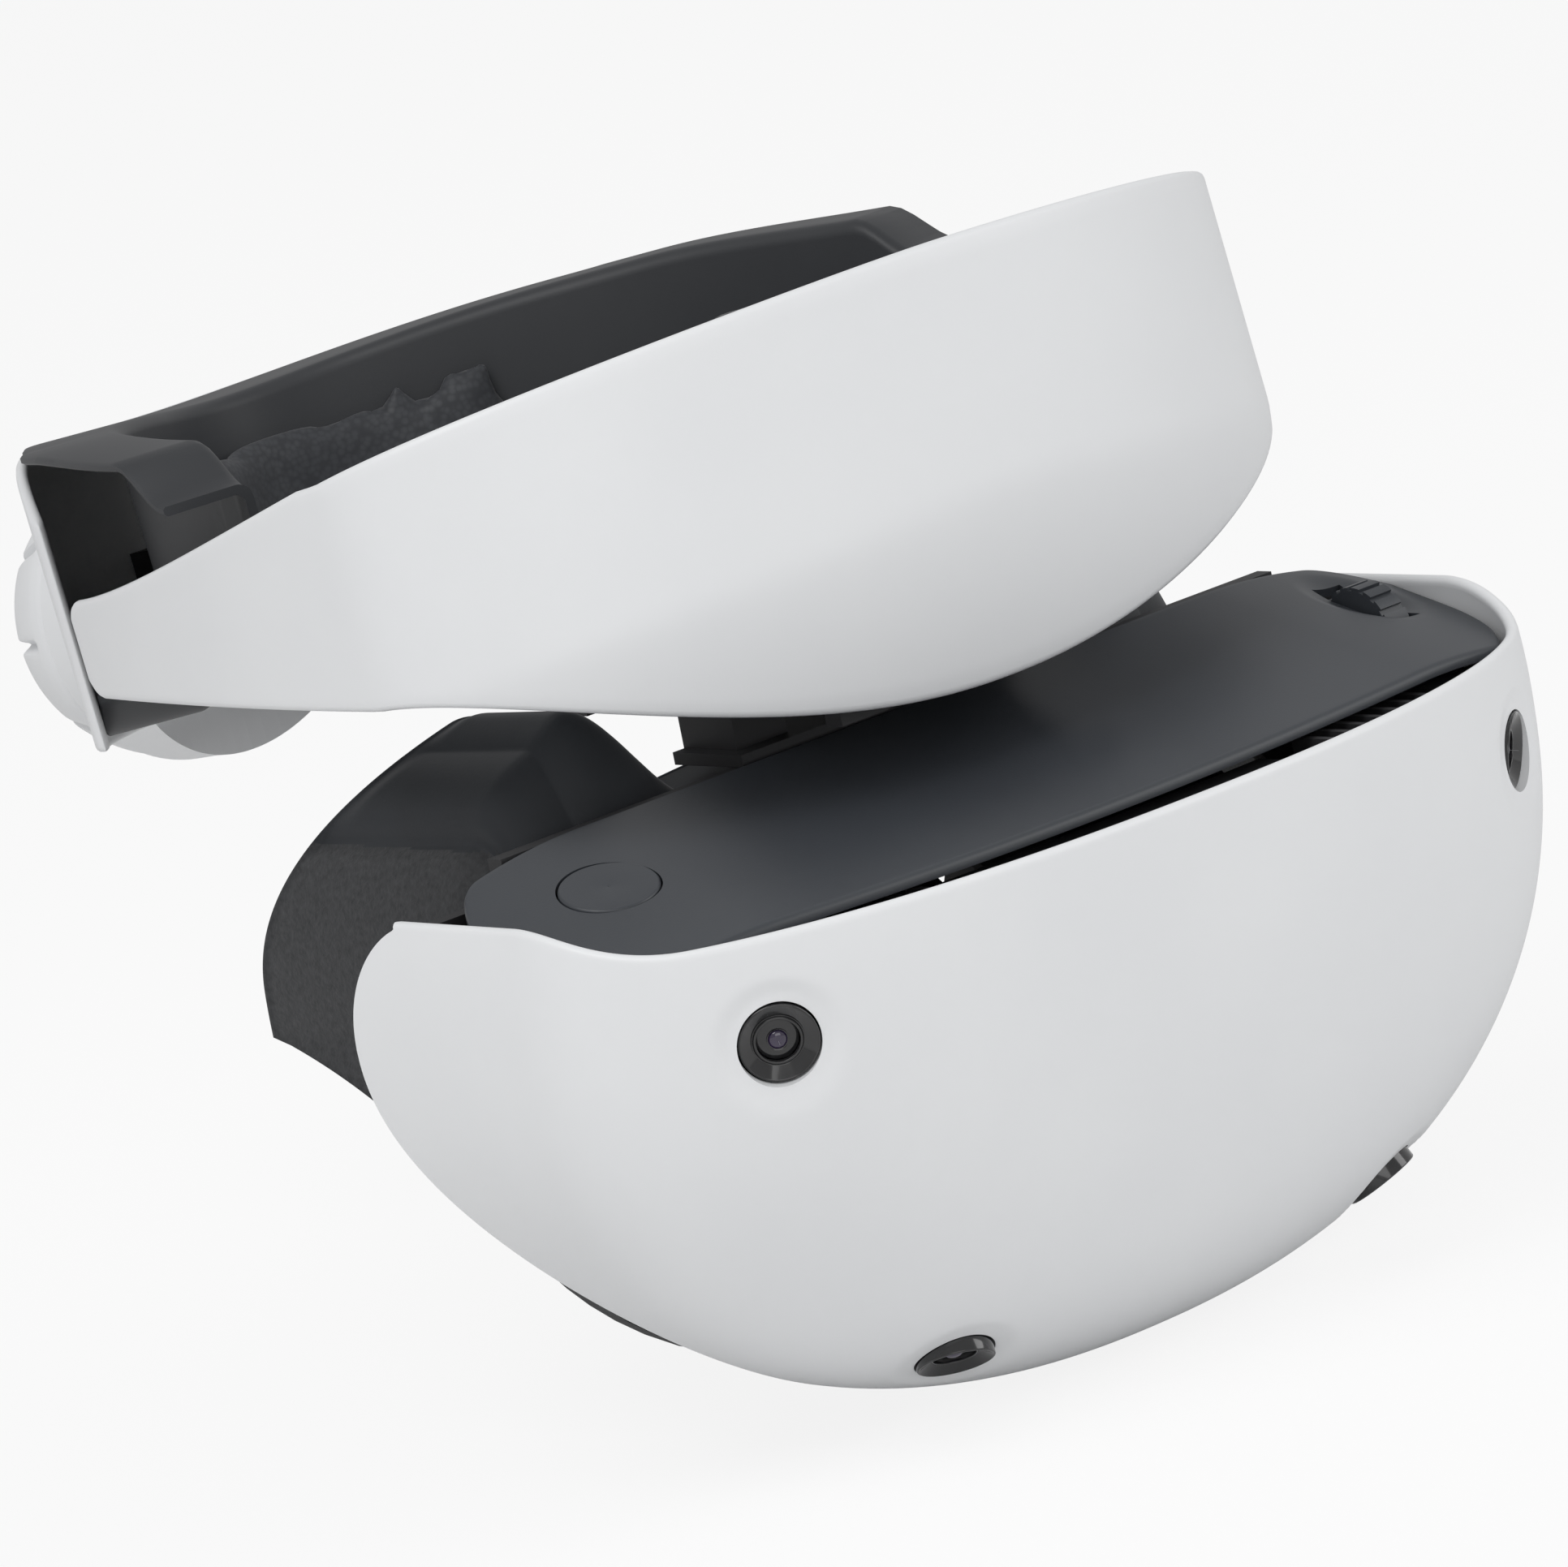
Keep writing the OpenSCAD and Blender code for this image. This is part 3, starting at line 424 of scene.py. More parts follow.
def liner_top(a):
    return 111.5 + 2.6 * smooth(a / 40) - 3.5 * smooth((a - 50) / 24)


def liner_low(a):
    return 63 + 12 * smooth((a - 36) / 14)


def liner_in(a):
    return 25 - 10 * smooth((a - 20) / 38)


def cradle_rows(count=120):
    rows = []
    for g in np.linspace(-CRADLE, CRADLE, count):
        near = (CRADLE - abs(g)) * 1.4
        thin = math.sqrt(max(0.02, 1 - max(0, 1 - near / 1.1) ** 2)) if near < 1.1 else 1
        section = wall_section(60 + 2 * (abs(g) / CRADLE) ** 4, top_of(abs(g)), 2.2, 12)
        rows.append([band_point(180 + g, 1.1 + (o - 1.1) * thin, h) for h, o in section])
    return band(np.array(rows))


def liner_rows(count=180):
    rows = []
    for g in np.linspace(-LINER, LINER, count):
        a = abs(g)
        w, lo, hi, t = liner_in(a), liner_low(a), liner_top(a), 1.6
        inside = smooth((a - CRADLE) / 1.5)
        lip = 2.5 + (1.0 - 2.5) * inside
        foot = lip + (w - 1.5 - lip) * inside
        end = smooth((LINER - a) / 5)
        hi = hi - 8 * (1 - end)
        r = 2.5
        shape = [(foot, lo + t), (max(foot + 0.3, w - 1), lo + t), (w, lo + t + 1), (w, hi - t - 1), (w - 1, hi - t),
                 (lip + 0.5, hi - t), (lip, hi - t + 0.4), (lip, hi - 0.4), (lip + 0.5, hi)]
        shape += [(w + t - r + r * math.sin(q), hi - r + r * math.cos(q)) for q in
                  np.linspace(0, math.pi / 2, 7)]
        shape += [(w + t - r + r * math.cos(q), lo + r - r * math.sin(q)) for q in
                  np.linspace(0, math.pi / 2, 7)]
        shape += [(foot + 0.4, lo), (foot, lo + 0.4)]
        rows.append([band_point(180 + g, o, h) for o, h in shape])
    return band(np.array(rows))


rear = loft("rear_cover", cradle_rows(), "white_shell")
finish_piece(rear, "rear_band", "white_shell", "rear_shell")
liner = sharpen(loft("rear_channel", liner_rows(), "rear_liner"), 50)
finish_piece(liner, "rear_band", "black_plastic", "rear_liner")

# %% [markdown]
# Turned pieces: the dial's foot, the dial with its finger notches, the button and the camera rings are
# all profiles spun round an axis. One helper spins a profile and lets the radius change with the turn.

# %% Spinning helper


def spin(name, profile, finish, to_place, steps=160, shape=None):
    rows = []
    for k in range(steps):
        a = 2 * math.pi * k / steps
        row = []
        for r, h in profile:
            rr = shape(r, h, a) if shape else r
            row.append([rr * math.cos(a), rr * math.sin(a), h])
        rows.append(row)
    return sharpen(loft(name, to_place(np.array(rows)), finish, ring=True), 32)


def rounded(profile, r=0.6, steps=4):
    """Rounds the corners of a closed profile, so that every edge catches a line of light."""
    out, n = [], len(profile)
    for i in range(n):
        p, a, b = (np.array(profile[(i + k) % n], float) for k in (0, -1, 1))
        ua, ub = a - p, b - p
        la, lb = np.linalg.norm(ua), np.linalg.norm(ub)
        d = min(r, la * 0.45, lb * 0.45)
        if p[0] < 1e-6 or d < 1e-3:
            out.append(tuple(p))
            continue
        pa, pb = p + ua / la * d, p + ub / lb * d
        for q in np.linspace(0, 1, steps + 1):
            out.append(tuple((1 - q) ** 2 * pa + 2 * q * (1 - q) * p + q * q * pb))
    return out


BACK, DIAL_Z = MID + REAR, 77.5


def on_dial(at_y):
    def place(q):
        return band(np.stack([q[..., 0], at_y + q[..., 2], DIAL_Z + q[..., 1]], -1))
    return place


def grip(r, h, a):
    turn = (a * 9 / (2 * math.pi)) % 1
    bite = float(smooth(1 - abs(turn - 0.5) / 0.09)) if r > 20 else 0.0
    return r - 2.4 * bite * float(smooth((h - 3.5) / 3.0))


cap = [(4, 0), (25.6, 0), (26.5, 1.6), (26.5, 4), (25.9, 6.5), (25.1, 9), (23.9, 12), (22.6, 14.6), (21.1, 16),
       (14.5, 16), (14.5, 5), (4, 5)]
dial = spin("dial_cap", rounded(cap, 0.8), "white_shell", on_dial(BACK + 13.3), 360, grip)
finish_piece(dial, "dial", "white_shell", "adjust_dial")
button = spin("release_cap", rounded([(0.01, 0), (14, 0), (14, 6.5), (12, 8.2), (8, 9.2), (0.01, 9.6)], 0.7),
              "pale_grey", on_dial(BACK + 20.6), 96)
finish_piece(button, "release_key", "pale_grey", "release_button")

# %% [markdown]
# The visor's front is one bowed white shell: a superellipsoid whose side panels run straight back to a
# curved rear edge. The same rule as the CAD's is followed here at a finer step, with a rounded rim.

# %% Visor front shell
VH, VF, VD, VM, WIDE = 106.5, 50.0, 80.0, 32.8, 4.0
PLAN, SIDE, NOSE, LEAN = 2.26, 2.26, 2.38, 0.04


def belt(z, inn, e):
    u = min(0.995, max(0, (WIDE - z) / (VD - inn))) if z < WIDE else min(1, (z - WIDE) / VD)
    return (1 - u ** SIDE) ** (1 / e)


def ear(z):
    if z > 2:
        return 55 + 19.8 * math.sqrt(max(0, 1 - ((z - 2) / 22) ** 2))
    return 35.5 + 39.3 * math.sin(math.radians(90 * min(1, max(0, (z + 62) / 64)) ** 0.88)) ** 2


def rim_at(t):
    y = VM - VF * abs(math.cos(math.radians(t))) ** (2 / PLAN)
    return 18 + 6 * float(smooth((y - 5) / (VM - 5)))


def hull_point(u, z, inn):
    w = (VH - inn) * belt(z, inn, SIDE)
    f = (VF - inn) * belt(z, inn, NOSE)
    m = VM + LEAN * (WIDE - z)
    t = math.radians(-90 + 180 * min(1, max(0, u)))
    b = -u if u < 0 else (u - 1 if u > 1 else 0)
    back = b * max(0, ear(z) - m)
    return [w * keep_sign(math.sin(t), 2 / PLAN), m - f * abs(math.cos(t)) ** (2 / PLAN) + back, z]


def drop_z(v, top, inn):
    """v runs 0 at the bottom lip to 1 at the rim; the lower part is spaced by turn, not by height."""
    if v < 0.72:
        return WIDE - (VD - inn) * math.sin(math.radians(84 * (1 - v / 0.72))) ** (2 / SIDE)
    return WIDE + (top - WIDE) * (v - 0.72) / 0.28


CAMS = [(82.2, -0.6, 0.5, 34, 10), (48.4, 13.6, -64, 33, 61)]


def cam_matrix(side, k):
    x, y, z, out, down = CAMS[k]
    return (Matrix.Translation((side * x, y, z)) @ Matrix.Rotation(math.radians(side * out), 4, "Z")
            @ Matrix.Rotation(math.radians(90 + down), 4, "X"))


def visor_rows(cols=260, levels=96):
    us = np.concatenate([np.linspace(-1, -0.02, 36), np.linspace(0, 1, cols), np.linspace(1.02, 2, 36)])
    lip = 6
    rows = []
    for u in us:
        top = rim_at(-90 + 180 * min(1, max(0, u)))
        end = max(0, max(-u, u - 1) - 0.0)
        r = 1.1
        wall = 2.2
        if end > 0.985:
            wall = 1.6
        outer = [hull_point(u, drop_z(v, top - r, 0), 0) for v in np.linspace(0, 1, levels)]
        inner = [hull_point(u, drop_z(v, top - r, wall), wall) for v in np.linspace(1, 0, levels)]
        a, b = np.array(outer[-1]), np.array(inner[0])
        half, up = (a - b) / 2, np.array([0, 0, r])
        arc = [(a + b) / 2 + half * math.cos(q) + up * math.sin(q)
               for q in np.linspace(0, math.pi, lip + 2)[1:-1]]
        rows.append(outer + [list(p) for p in arc] + inner)
    return np.array(rows)


def dish(rows):
    """Presses a shallow ring round each tracking camera into the outside of the shell."""
    flat = rows.reshape(-1, 3).copy()
    for side in (-1, 1):
        for k in (0, 1):
            inv = np.array(cam_matrix(side, k).inverted())
            local = flat @ inv[:3, :3].T + inv[:3, 3]
            r = np.hypot(local[:, 0], local[:, 1])
            near = (r < 11.5) & (local[:, 2] > -6)
            push = 0.7 * smooth((11.2 - r) / 3.4) * near
            flat -= push[:, None] * np.array(cam_matrix(side, k))[:3, 2]
    return flat.reshape(rows.shape)


visor = loft("visor_front", seat(dish(visor_rows())), "white_shell")


def cutter(name, radius, low, high, matrix, steps=96):
    rows = [[matrix @ Vector((r * math.cos(a), r * math.sin(a), h)) for r, h in
             [(0.01, low), (radius, low), (radius, high), (0.01, high)]]
            for a in np.linspace(0, 2 * math.pi, steps, endpoint=False)]
    return loft(name, seat(np.array(rows)), "black_plastic", ring=True)


def cut(obj, tool):
    mod = obj.modifiers.new("cut", "BOOLEAN")
    mod.operation, mod.solver, mod.object = "DIFFERENCE", "EXACT", tool
    apply_all(obj)
    bpy.data.objects.remove(tool)


def apply_all(obj):
    bpy.context.view_layer.update()
    done = bpy.data.meshes.new_from_object(obj.evaluated_get(bpy.context.evaluated_depsgraph_get()))
    obj.modifiers.clear()
    old, obj.data = obj.data, done
    bpy.data.meshes.remove(old)


for side in (-1, 1):
    for k in (0, 1):
        cut(visor, cutter("hole", 6.8, -14, 12, cam_matrix(side, k)))
sharpen(visor, 40)
finish_piece(visor, "visor", "white_shell", "front_shell")

# %% [markdown]
# The dark top panel sits just inside the white rim. Its front edge bows forward a little in the middle,
# it climbs towards the back, and it falls away at the sides. A slot lets the lens wheel through, and a
# round hole holds the scope button. A finger scoop is pressed round the wheel.

# %% Top panel


def panel_z(x, y):
    return 17.8 + 0.27 * (y - 8.4) - 5.5 * (max(0, abs(x) - 70) / 35) ** 2


def panel_front(x):
    w, f = VH * 0.985 - 2.7, VF * 0.985 - 2.7
    c = VM - 0.4 - f * max(0, 1 - min(1, abs(x) / w) ** PLAN) ** (1 / PLAN)
    return max(8.4 - 5.6 * (1 - (x / 97) ** 2), c)


def panel_rear(x):
    return 54 - 12 * (max(0, abs(x) - 92) / 11.4) ** 2


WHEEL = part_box("ipd_dial")
wheel_x = (WHEEL[0].x + WHEEL[1].x) * 500
wheel_y = (WHEEL[0].y + WHEEL[1].y) * 500 + EYE_Y
wheel_z = (WHEEL[0].z + WHEEL[1].z) * 500 + EYE_Z


def scoop(x, y):
    r = math.hypot((x - wheel_x) / 8.5, (y - wheel_y) / 13.0)
    return 1.6 * float(smooth((1.05 - r) / 0.6))


def panel_rows(cols=420, across=90):
    rows = []
    for i in range(cols):
        x = 102.2 * math.sin(-math.pi / 2 + math.pi * i / (cols - 1))
        f = panel_front(x)
        r = max(f + 3, panel_rear(x))
        ys = np.linspace(f, r, across)
        edge = [0.7 * (1 - math.sqrt(max(0, 1 - max(0, 1 - min(y - f, r - y) / 0.9) ** 2))) for y in ys]
        top = [[x, y, panel_z(x, y) - scoop(x, y) - e] for y, e in zip(ys, edge)]
        low = [[x, y, panel_z(x, y) - 2.1 - scoop(x, y) * 0.6 + e * 0.5] for y, e in zip(ys[::-1], edge[::-1])]
        rows.append(top + low)
    return np.array(rows)


panel = loft("visor_top", seat(panel_rows()), "dark_panel")
SX, SY = -81.5, 34.5
scope_place = (Matrix.Translation((SX, SY, panel_z(SX, SY))) @ Matrix.Rotation(math.radians(-6.3), 4, "Y")
               @ Matrix.Rotation(math.radians(15), 4, "X"))
cut(panel, cutter("hole", 8.5, -6, 6, scope_place))
slot_rows = [[[wheel_x + s * 3.4, wheel_y + 10 * math.cos(a), wheel_z + 14 * math.sin(a)] for a in
              np.linspace(0, 2 * math.pi, 40, endpoint=False)] for s in (-1, 1)]
cut(panel, loft("slot", seat(np.array(slot_rows)), "black_plastic"))
sharpen(panel, 38)
finish_piece(panel, "visor", "dark_panel", "top_panel")


def by_matrix(m):
    a = np.array(m)

    def place(q):
        return seat(q @ a[:3, :3].T + a[:3, 3])
    return place


scope = spin("scope_cap", rounded([(0.01, -2.3), (8.2, -2.3), (8.2, -0.25), (7.9, 0.1), (0.01, 0.1)], 0.35),
             "dark_panel", by_matrix(scope_place), 96)
finish_piece(scope, "scope_key", "dark_panel", "scope_button")

# %% [markdown]
# Four tracking cameras look out of the shell. Each is a gloss black funnel round a small dark lens with
# a domed, violet-coated glass. The same two profiles are spun at all four places.

# %% Tracking cameras
funnel = rounded([(3.5, -3.5), (6.5, -3.5), (6.5, -0.15), (6.2, 0.0), (4.1, -1.5), (3.9, -1.1), (3.5, -1.1)], 0.25)
module = rounded([(0.01, -10.4), (5.2, -10.4), (5.2, -3.6), (3.45, -3.6), (3.45, -2.1), (1.9, -1.8),
                  (1.7, -1.9), (0.01, -1.9)], 0.15)
lens_dome = [(0.01, -1.85)] + [(1.55 * math.sin(q), -1.85 + 0.75 * math.cos(q)) for q in
                               np.linspace(math.pi / 2, 0.01, 12)]
for side, word in ((1, "left"), (-1, "right")):
    for k, row in ((0, "upper"), (1, "lower")):
        m = by_matrix(cam_matrix(side, k))
        ringed = spin(f"funnel_{row}_{word}", funnel, "gloss_black", m, 96)
        finish_piece(ringed, "visor", "gloss_black", f"bezel_{row}_{word}")
        core = spin(f"module_{row}_{word}", module, "gloss_black", m, 64)
        finish_piece(core, "visor", "black_plastic", f"camera_{row}_{word}")
        dome = spin(f"eye_{row}_{word}", lens_dome, "camera_glass", m, 48)
        finish_piece(dome, "visor", "gloss_black")

# %% [markdown]
# The light shield is one piece of silicone rubber. It starts at its frame, folds like bellows, rises
# to a shoulder on each side of the brow, and ends in a soft turned-in lip that touches the face.

# %% Light shield
BASE = 58.1


def shield_edge(q):
    c, s = math.cos(q), math.sin(q)
    off = abs(s) ** 0.8
    if s < 0:
        return 77 + 43 * math.exp(-50 * off / 14)
    return 80 + 41 * max(0, 1 - (max(0, 59 * off - 8) / 45) ** 2) * float(smooth((abs(c) - 0.3) / 0.35))


def shield_spot(q, v, o):
    c, s = math.cos(q), math.sin(q)
    y = BASE + (shield_edge(q) - BASE) * v
    shoulder = float(smooth(3 * v) * smooth((abs(c) - 0.36) / 0.3))
    w, up, dn = 81 + 7 * v - o, 30 + 29 * shoulder - o, 46 + 4 * v - o
    notch = 20 * abs(s) ** 8 * float(smooth(v * 2)) if s < 0 else 0
    return [w * keep_sign(c, 0.8), y, -3 + (up if s > 0 else dn - notch) * keep_sign(s, 0.8)]


SEAM = math.radians(27)


def pleat(q, v):
    """Outward relief: a groove along the seam, and above it pleats that run from front to back."""
    side = math.asin(min(1, abs(math.sin(q)))) if math.sin(q) > 0 else -1.0
    groove = -1.3 * math.exp(-((side - SEAM) / 0.035) ** 2)
    if side < SEAM:
        return groove
    into = smooth((side - SEAM) / 0.1) * smooth((1.25 - side) / 0.25) * smooth(v / 0.1) * smooth((1 - v) / 0.12)
    return groove + float(into) * (1.3 * abs(math.sin((side - SEAM) * 11)) ** 0.7 - 0.3)


def shield_rows(around=720, along=48):
    rows = []
    for q in np.linspace(0, 2 * math.pi, around, endpoint=False):
        outer = [shield_spot(q, v, -pleat(q, v)) for v in np.linspace(0, 1, along)]
        lip = [shield_spot(q, 1.0 + 0.03 * math.sin(a), 4.2 - 4.6 * math.cos(a))
               for a in np.linspace(0.25, math.pi, 9)]
        under = [shield_spot(q, 0.955, 8.6), shield_spot(q, 0.955, 5.5)]
        inner = [shield_spot(q, v * 0.96, 2.2) for v in np.linspace(0.96, 0, along)]
        rows.append(outer + lip + under + inner)
    return np.array(rows)


shield = loft("face_shield", seat(shield_rows()), "shield_rubber", ring=True)
shield.data.materials.append(finishes["shield_bellows"])
for face in shield.data.polygons:
    x, z = face.center.x * 1000, face.center.z * 1000 + EYE_Z + 3
    turn = math.atan2(np.sign(z) * (abs(z) / 59) ** 1.25, (abs(x) / 88) ** 1.25)
    face.material_index = 1 if turn > SEAM else 0
finish_piece(shield, "visor", "shield_rubber", "light_shield")

# %% [markdown]
# The forehead pad and the rear pad are foam under a grained skin. Each starts as a slightly lean copy
# of its CAD solid, is remeshed to even faces, and swells under cloth pressure for twenty frames. How far
# any point may move is capped, so that the pad stays in its place.

# %% Pad helper


def pad_rows(out, end, low, top_of_turn, depth_of_turn, base, count=60):
    rows = []
    for t in np.linspace(-end, end, count):
        e = 1 - abs(t / end) ** 4
        lo, hi, o = low(t), top_of_turn(t), out(t)
        d = depth_of_turn(o, e)
        rows.append([band_point(base + t, *p) for p in
                     [(o, lo + 4), (o, hi - 4), ((o + d) / 2, hi), (d, hi - 5), (d, lo + 5),
                      ((o + d) / 2, lo)]])
    return band(np.array(rows))


def puff(obj, voxel, pressure, cap):
    mod = obj.modifiers.new("even", "REMESH")
    mod.mode, mod.voxel_size = "VOXEL", voxel
    apply_all(obj)
    start = np.array([v.co for v in obj.data.vertices])
    cloth = obj.modifiers.new("swell", "CLOTH")
    cloth.settings.use_pressure = True
    cloth.settings.uniform_pressure_force = pressure
    cloth.settings.effector_weights.gravity = 0
    cloth.settings.quality = 6
    cloth.point_cache.frame_start, cloth.point_cache.frame_end = 1, 20
    scene = bpy.context.scene
    for f in range(1, 21):
        scene.frame_set(f)
    apply_all(obj)
    now = np.array([v.co for v in obj.data.vertices])
    move = now - start
    far = np.linalg.norm(move, axis=1, keepdims=True)
    move *= np.minimum(1, cap / np.maximum(far, 1e-9))
    obj.data.vertices.foreach_set("co", (start + move).astype(np.float32).ravel())
    scene.frame_set(1)
    print(obj.name, "moved up to", round(float(np.minimum(far, cap).max()) * 1000, 1), "mm")
    sub = obj.modifiers.new("soft", "SUBSURF")
    sub.levels = sub.render_levels = 1
    apply_all(obj)
    obj.data.shade_smooth()


# %% Forehead pad and rear pad
front_pad = loft("brow_cushion", pad_rows(lambda t: 7.4, 66, lambda t: 63.5, lambda t: plate_top(t) + 1.6,
                                          lambda o, e: o + 5 + 8 * e, 0), "pad_skin")
puff(front_pad, 0.0045, 4.0, 0.0035)
finish_piece(front_pad, "front_band", "pad_skin", "forehead_pad")
back_pad = loft("nape_cushion", pad_rows(lambda t: liner_in(abs(t)) + 2.6, 36,
                                         lambda t: liner_low(abs(t)) + 7.5, lambda t: liner_top(abs(t)) - 6.5,
                                         lambda o, e: o + 2.5 + 3 * e, 180), "pad_skin")
puff(back_pad, 0.0045, 4.0, 0.0025)
finish_piece(back_pad, "rear_band", "pad_skin", "rear_pad")

# %% [markdown]
# Cooling fins stand in a row behind the front rim. Each is the same thin blade with a sloped nose, so a
# Geometry Nodes tree copies one blade to every foot and stretches it to the room that it has there.

# %% Tree that repeats one piece on points


def repeat(name, feet, shape, finish, inputs):
    """feet: place, scale and turn of each copy; shape: a mesh object to copy; inputs: named tree sizes."""
    mesh = bpy.data.meshes.new(name)
    mesh.from_pydata([tuple(f[0]) for f in feet], [], [])
    for key, col in (("stretch", 1), ("turn", 2)):
        layer = mesh.attributes.new(key, "FLOAT_VECTOR", "POINT")
        layer.data.foreach_set("vector", np.array([f[col] for f in feet], np.float32).ravel())
    host = bpy.data.objects.new(name, mesh)
    bpy.context.scene.collection.objects.link(host)
    tree = bpy.data.node_groups.new(name, "GeometryNodeTree")
    tree.interface.new_socket("Geometry", in_out="INPUT", socket_type="NodeSocketGeometry")
    for key in inputs:
        tree.interface.new_socket(key, in_out="INPUT", socket_type="NodeSocketFloat")
    tree.interface.new_socket("Geometry", in_out="OUTPUT", socket_type="NodeSocketGeometry")
    add, link = tree.nodes.new, tree.links.new
    source, sink = add("NodeGroupInput"), add("NodeGroupOutput")
    copies, place = add("GeometryNodeInstanceOnPoints"), add("GeometryNodeObjectInfo")
    place.inputs["Object"].default_value = shape
    size, turn = add("GeometryNodeInputNamedAttribute"), add("GeometryNodeInputNamedAttribute")
    for n, key in ((size, "stretch"), (turn, "turn")):
        n.data_type = "FLOAT_VECTOR"
        n.inputs["Name"].default_value = key
    grow = add("ShaderNodeVectorMath")
    grow.operation = "SCALE"
    realize, dress = add("GeometryNodeRealizeInstances"), add("GeometryNodeSetMaterial")
    dress.inputs["Material"].default_value = finishes[finish]
    link(source.outputs["Geometry"], copies.inputs["Points"])
    link(place.outputs["Geometry"], copies.inputs["Instance"])
    link(size.outputs["Attribute"], grow.inputs[0])
    link(source.outputs["Size"], grow.inputs["Scale"])
    link(grow.outputs[0], copies.inputs["Scale"])
    link(turn.outputs["Attribute"], copies.inputs["Rotation"])
    link(copies.outputs[0], realize.inputs[0])
    link(realize.outputs[0], dress.inputs[0])
    link(dress.outputs[0], sink.inputs[0])
    mod = host.modifiers.new("repeat", "NODES")
    mod.node_group = tree
    for item in tree.interface.items_tree:
        if item.item_type == "SOCKET" and item.in_out == "INPUT" and item.name in inputs:
            mod[item.identifier] = inputs[item.name]
    apply_all(host)
    bpy.data.objects.remove(shape)
    sharpen(host, 40)
    return host


# %% Cooling fins


def bow_in(x, z=7.0):
    w, f = (VH - 2.6) * belt(z, 2.6, SIDE), (VF - 2.6) * belt(z, 2.6, NOSE)
    return VM + LEAN * (WIDE - z) - f * max(0, 1 - (abs(x) / w) ** PLAN) ** (1 / PLAN)


blade_side = [(0, 0), (1, 0), (1, 1), (0.16, 1), (0.05, 0.97), (0, 0.85)]
blade = loft("blade", np.array([[(x, y, z) for y, z in blade_side] for x in (-0.5, 0.5)]), "black_plastic")
feet = []
for s in (-1, 1):
    for i in range(7):
        x = s * (43 + 26 * i / 6)
        y0 = bow_in(x) + 0.8
        feet.append((seat([x, y0, 7]), (1.3, panel_front(x) + 5 - y0, 6.8), (0, 0, 0)))
fins = repeat("cooling_fins", feet, blade, "black_plastic", {"Size": 0.001})
finish_piece(fins, "visor", "black_plastic", "vent_fins")

# %% [markdown]
# Screws repeat too: one domed head with a six-lobed socket, copied to every screw's place. Each body
# gets its own copy tree, so that a piece never spans two bodies.

# %% Screw heads


def screw_head(r=1.0, steps=36):
    """A head of radius 1 that faces +Z, with a six-lobed recess."""
    rows = []
    for a in np.linspace(0, 2 * math.pi, steps, endpoint=False):
        lobe = 0.42 + 0.06 * math.cos(6 * a)
        prof = [(0.001, 0.0), (1.0, 0.0), (1.0, 0.2), (0.9, 0.36), (0.62, 0.46), (lobe, 0.47), (lobe, 0.2),
                (0.001, 0.2)]
        rows.append([(rr * math.cos(a), rr * math.sin(a), h) for rr, h in prof])
    return loft("head", np.array(rows), "steel", ring=True)


down_back = math.radians(-90)
visor_feet = []
for s in (-1, 1):
    for x, z in ((88, -2), (58, -48)):
        visor_feet.append((seat([s * x, 58.0, z]), (2.6, 2.6, 2.6), (down_back, 0, 0)))
heads = repeat("frame_screw_heads", visor_feet, screw_head(), "steel", {"Size": 0.001})
finish_piece(heads, "visor", "steel", "visor_screws")
plate_feet = [(seat([s * 14, y, 47.1]), (2.8, 2.8, 2.8), (0, 0, 0)) for s in (-1, 1) for y in (48, 84)]
heads = repeat("bracket_screw_heads", plate_feet, screw_head(), "steel", {"Size": 0.001})
finish_piece(heads, "front_band", "steel", "bracket_screws")

# %% [markdown]
# A plain pale floor runs up into a backdrop. Part of its colour is shown to the camera as plain white,
# which keeps the background bright, while the rest still takes the lamps and keeps the shadow.

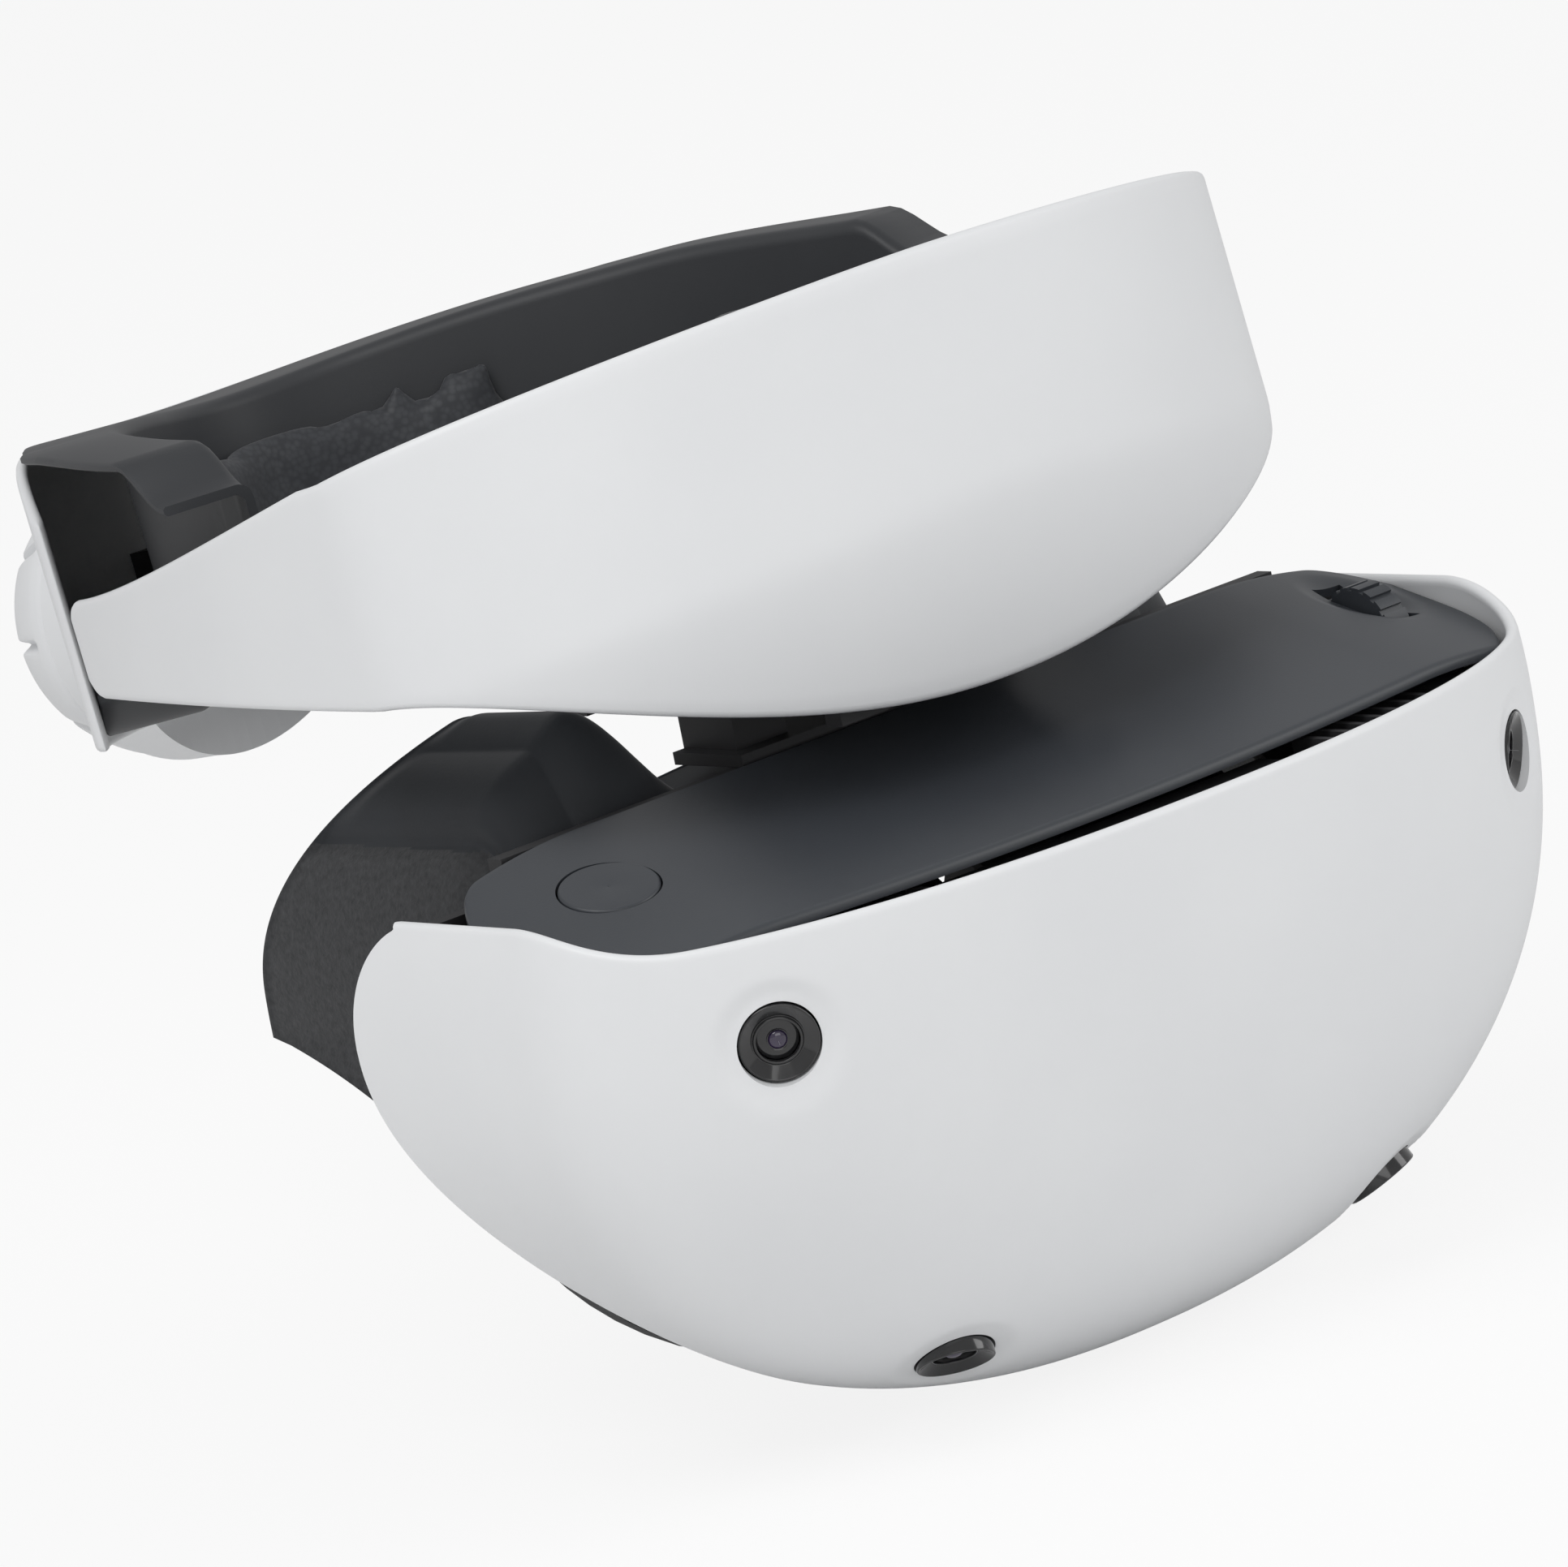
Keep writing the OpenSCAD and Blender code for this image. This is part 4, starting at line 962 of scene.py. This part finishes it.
# %% Floor and world
floor_z = float(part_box("front_shell")[0].z) - 0.001
pale = Finish("pale_floor", Roughness=0.9, Base_Color=(0.8, 0.8, 0.8, 1))
glow = pale.tree.nodes.new("ShaderNodeEmission")
glow.inputs["Strength"].default_value = 1.0
mix = pale.tree.nodes.new("ShaderNodeMixShader")
rays = pale.tree.nodes.new("ShaderNodeLightPath")
seen = Val(pale, rays.outputs["Is Camera Ray"]) * 0.86
pale.tree.links.new(seen.socket, mix.inputs[0])
pale.tree.links.new(pale.shader.outputs[0], mix.inputs[1])
pale.tree.links.new(glow.outputs[0], mix.inputs[2])
pale.tree.links.new(mix.outputs[0], pale.out.inputs[0])
finishes["pale_floor"] = pale.material
floor = make("floor", [(-6, -6, floor_z), (6, -6, floor_z), (6, 6, floor_z), (-6, 6, floor_z)], [(0, 1, 2, 3)],
             "pale_floor", recalc=False)

world = bpy.data.worlds.new("studio")
bpy.context.scene.world = world
world.use_nodes = True
wt = world.node_tree
back = wt.nodes["Background"]
rays = wt.nodes.new("ShaderNodeLightPath")
level = wt.nodes.new("ShaderNodeMapRange")
wt.links.new(rays.outputs["Is Camera Ray"], level.inputs["Value"])
level.inputs["To Min"].default_value = 0.55
level.inputs["To Max"].default_value = 1.0
wt.links.new(level.outputs[0], back.inputs["Strength"])
back.inputs["Color"].default_value = (1, 1, 1, 1)


def lamp(name, place, aim, size, power):
    data = bpy.data.lights.new(name, "AREA")
    data.shape, data.size, data.size_y, data.energy = "RECTANGLE", size[0], size[1], power
    obj = bpy.data.objects.new(name, data)
    bpy.context.scene.collection.objects.link(obj)
    obj.location = place
    obj.rotation_euler = (Vector(aim) - Vector(place)).to_track_quat("-Z", "Y").to_euler()


middle = (0, 0.03, 0.02)
lamp("key_softbox", (-0.9, -0.2, 1.3), middle, (0.9, 0.9), 9.0)
lamp("side_softbox", (1.1, -1.0, 0.7), middle, (0.7, 1.0), 5.0)
lamp("front_fill", (-0.8, -1.6, 0.5), middle, (1.2, 0.8), 4.0)
print("floor at", round(floor_z, 4))

# %% [markdown]
# The camera stands well back with a long lens, to the wearer's right of the front and a little above.

# %% Camera
RIGHT, UP, TOWARDS = (0.7374, -0.6473, -0.1928), (0.2780, 0.0307, 0.9601), (-0.6156, -0.7616, 0.2026)
place = Matrix((RIGHT, UP, TOWARDS)).transposed().to_4x4()
place.translation = Vector(seat([-1038.5, -1197.4, 357.6]))
lens = bpy.data.cameras.new("view")
lens.lens, lens.sensor_width, lens.sensor_fit, lens.clip_end = 12522 / 1932 * 36, 36.0, "HORIZONTAL", 50
camera = bpy.data.objects.new("view", lens)
bpy.context.scene.collection.objects.link(camera)
camera.matrix_world = place
bpy.context.scene.camera = camera
bpy.context.scene.view_settings.view_transform = "Standard"
print("camera at", [round(v, 3) for v in place.translation])
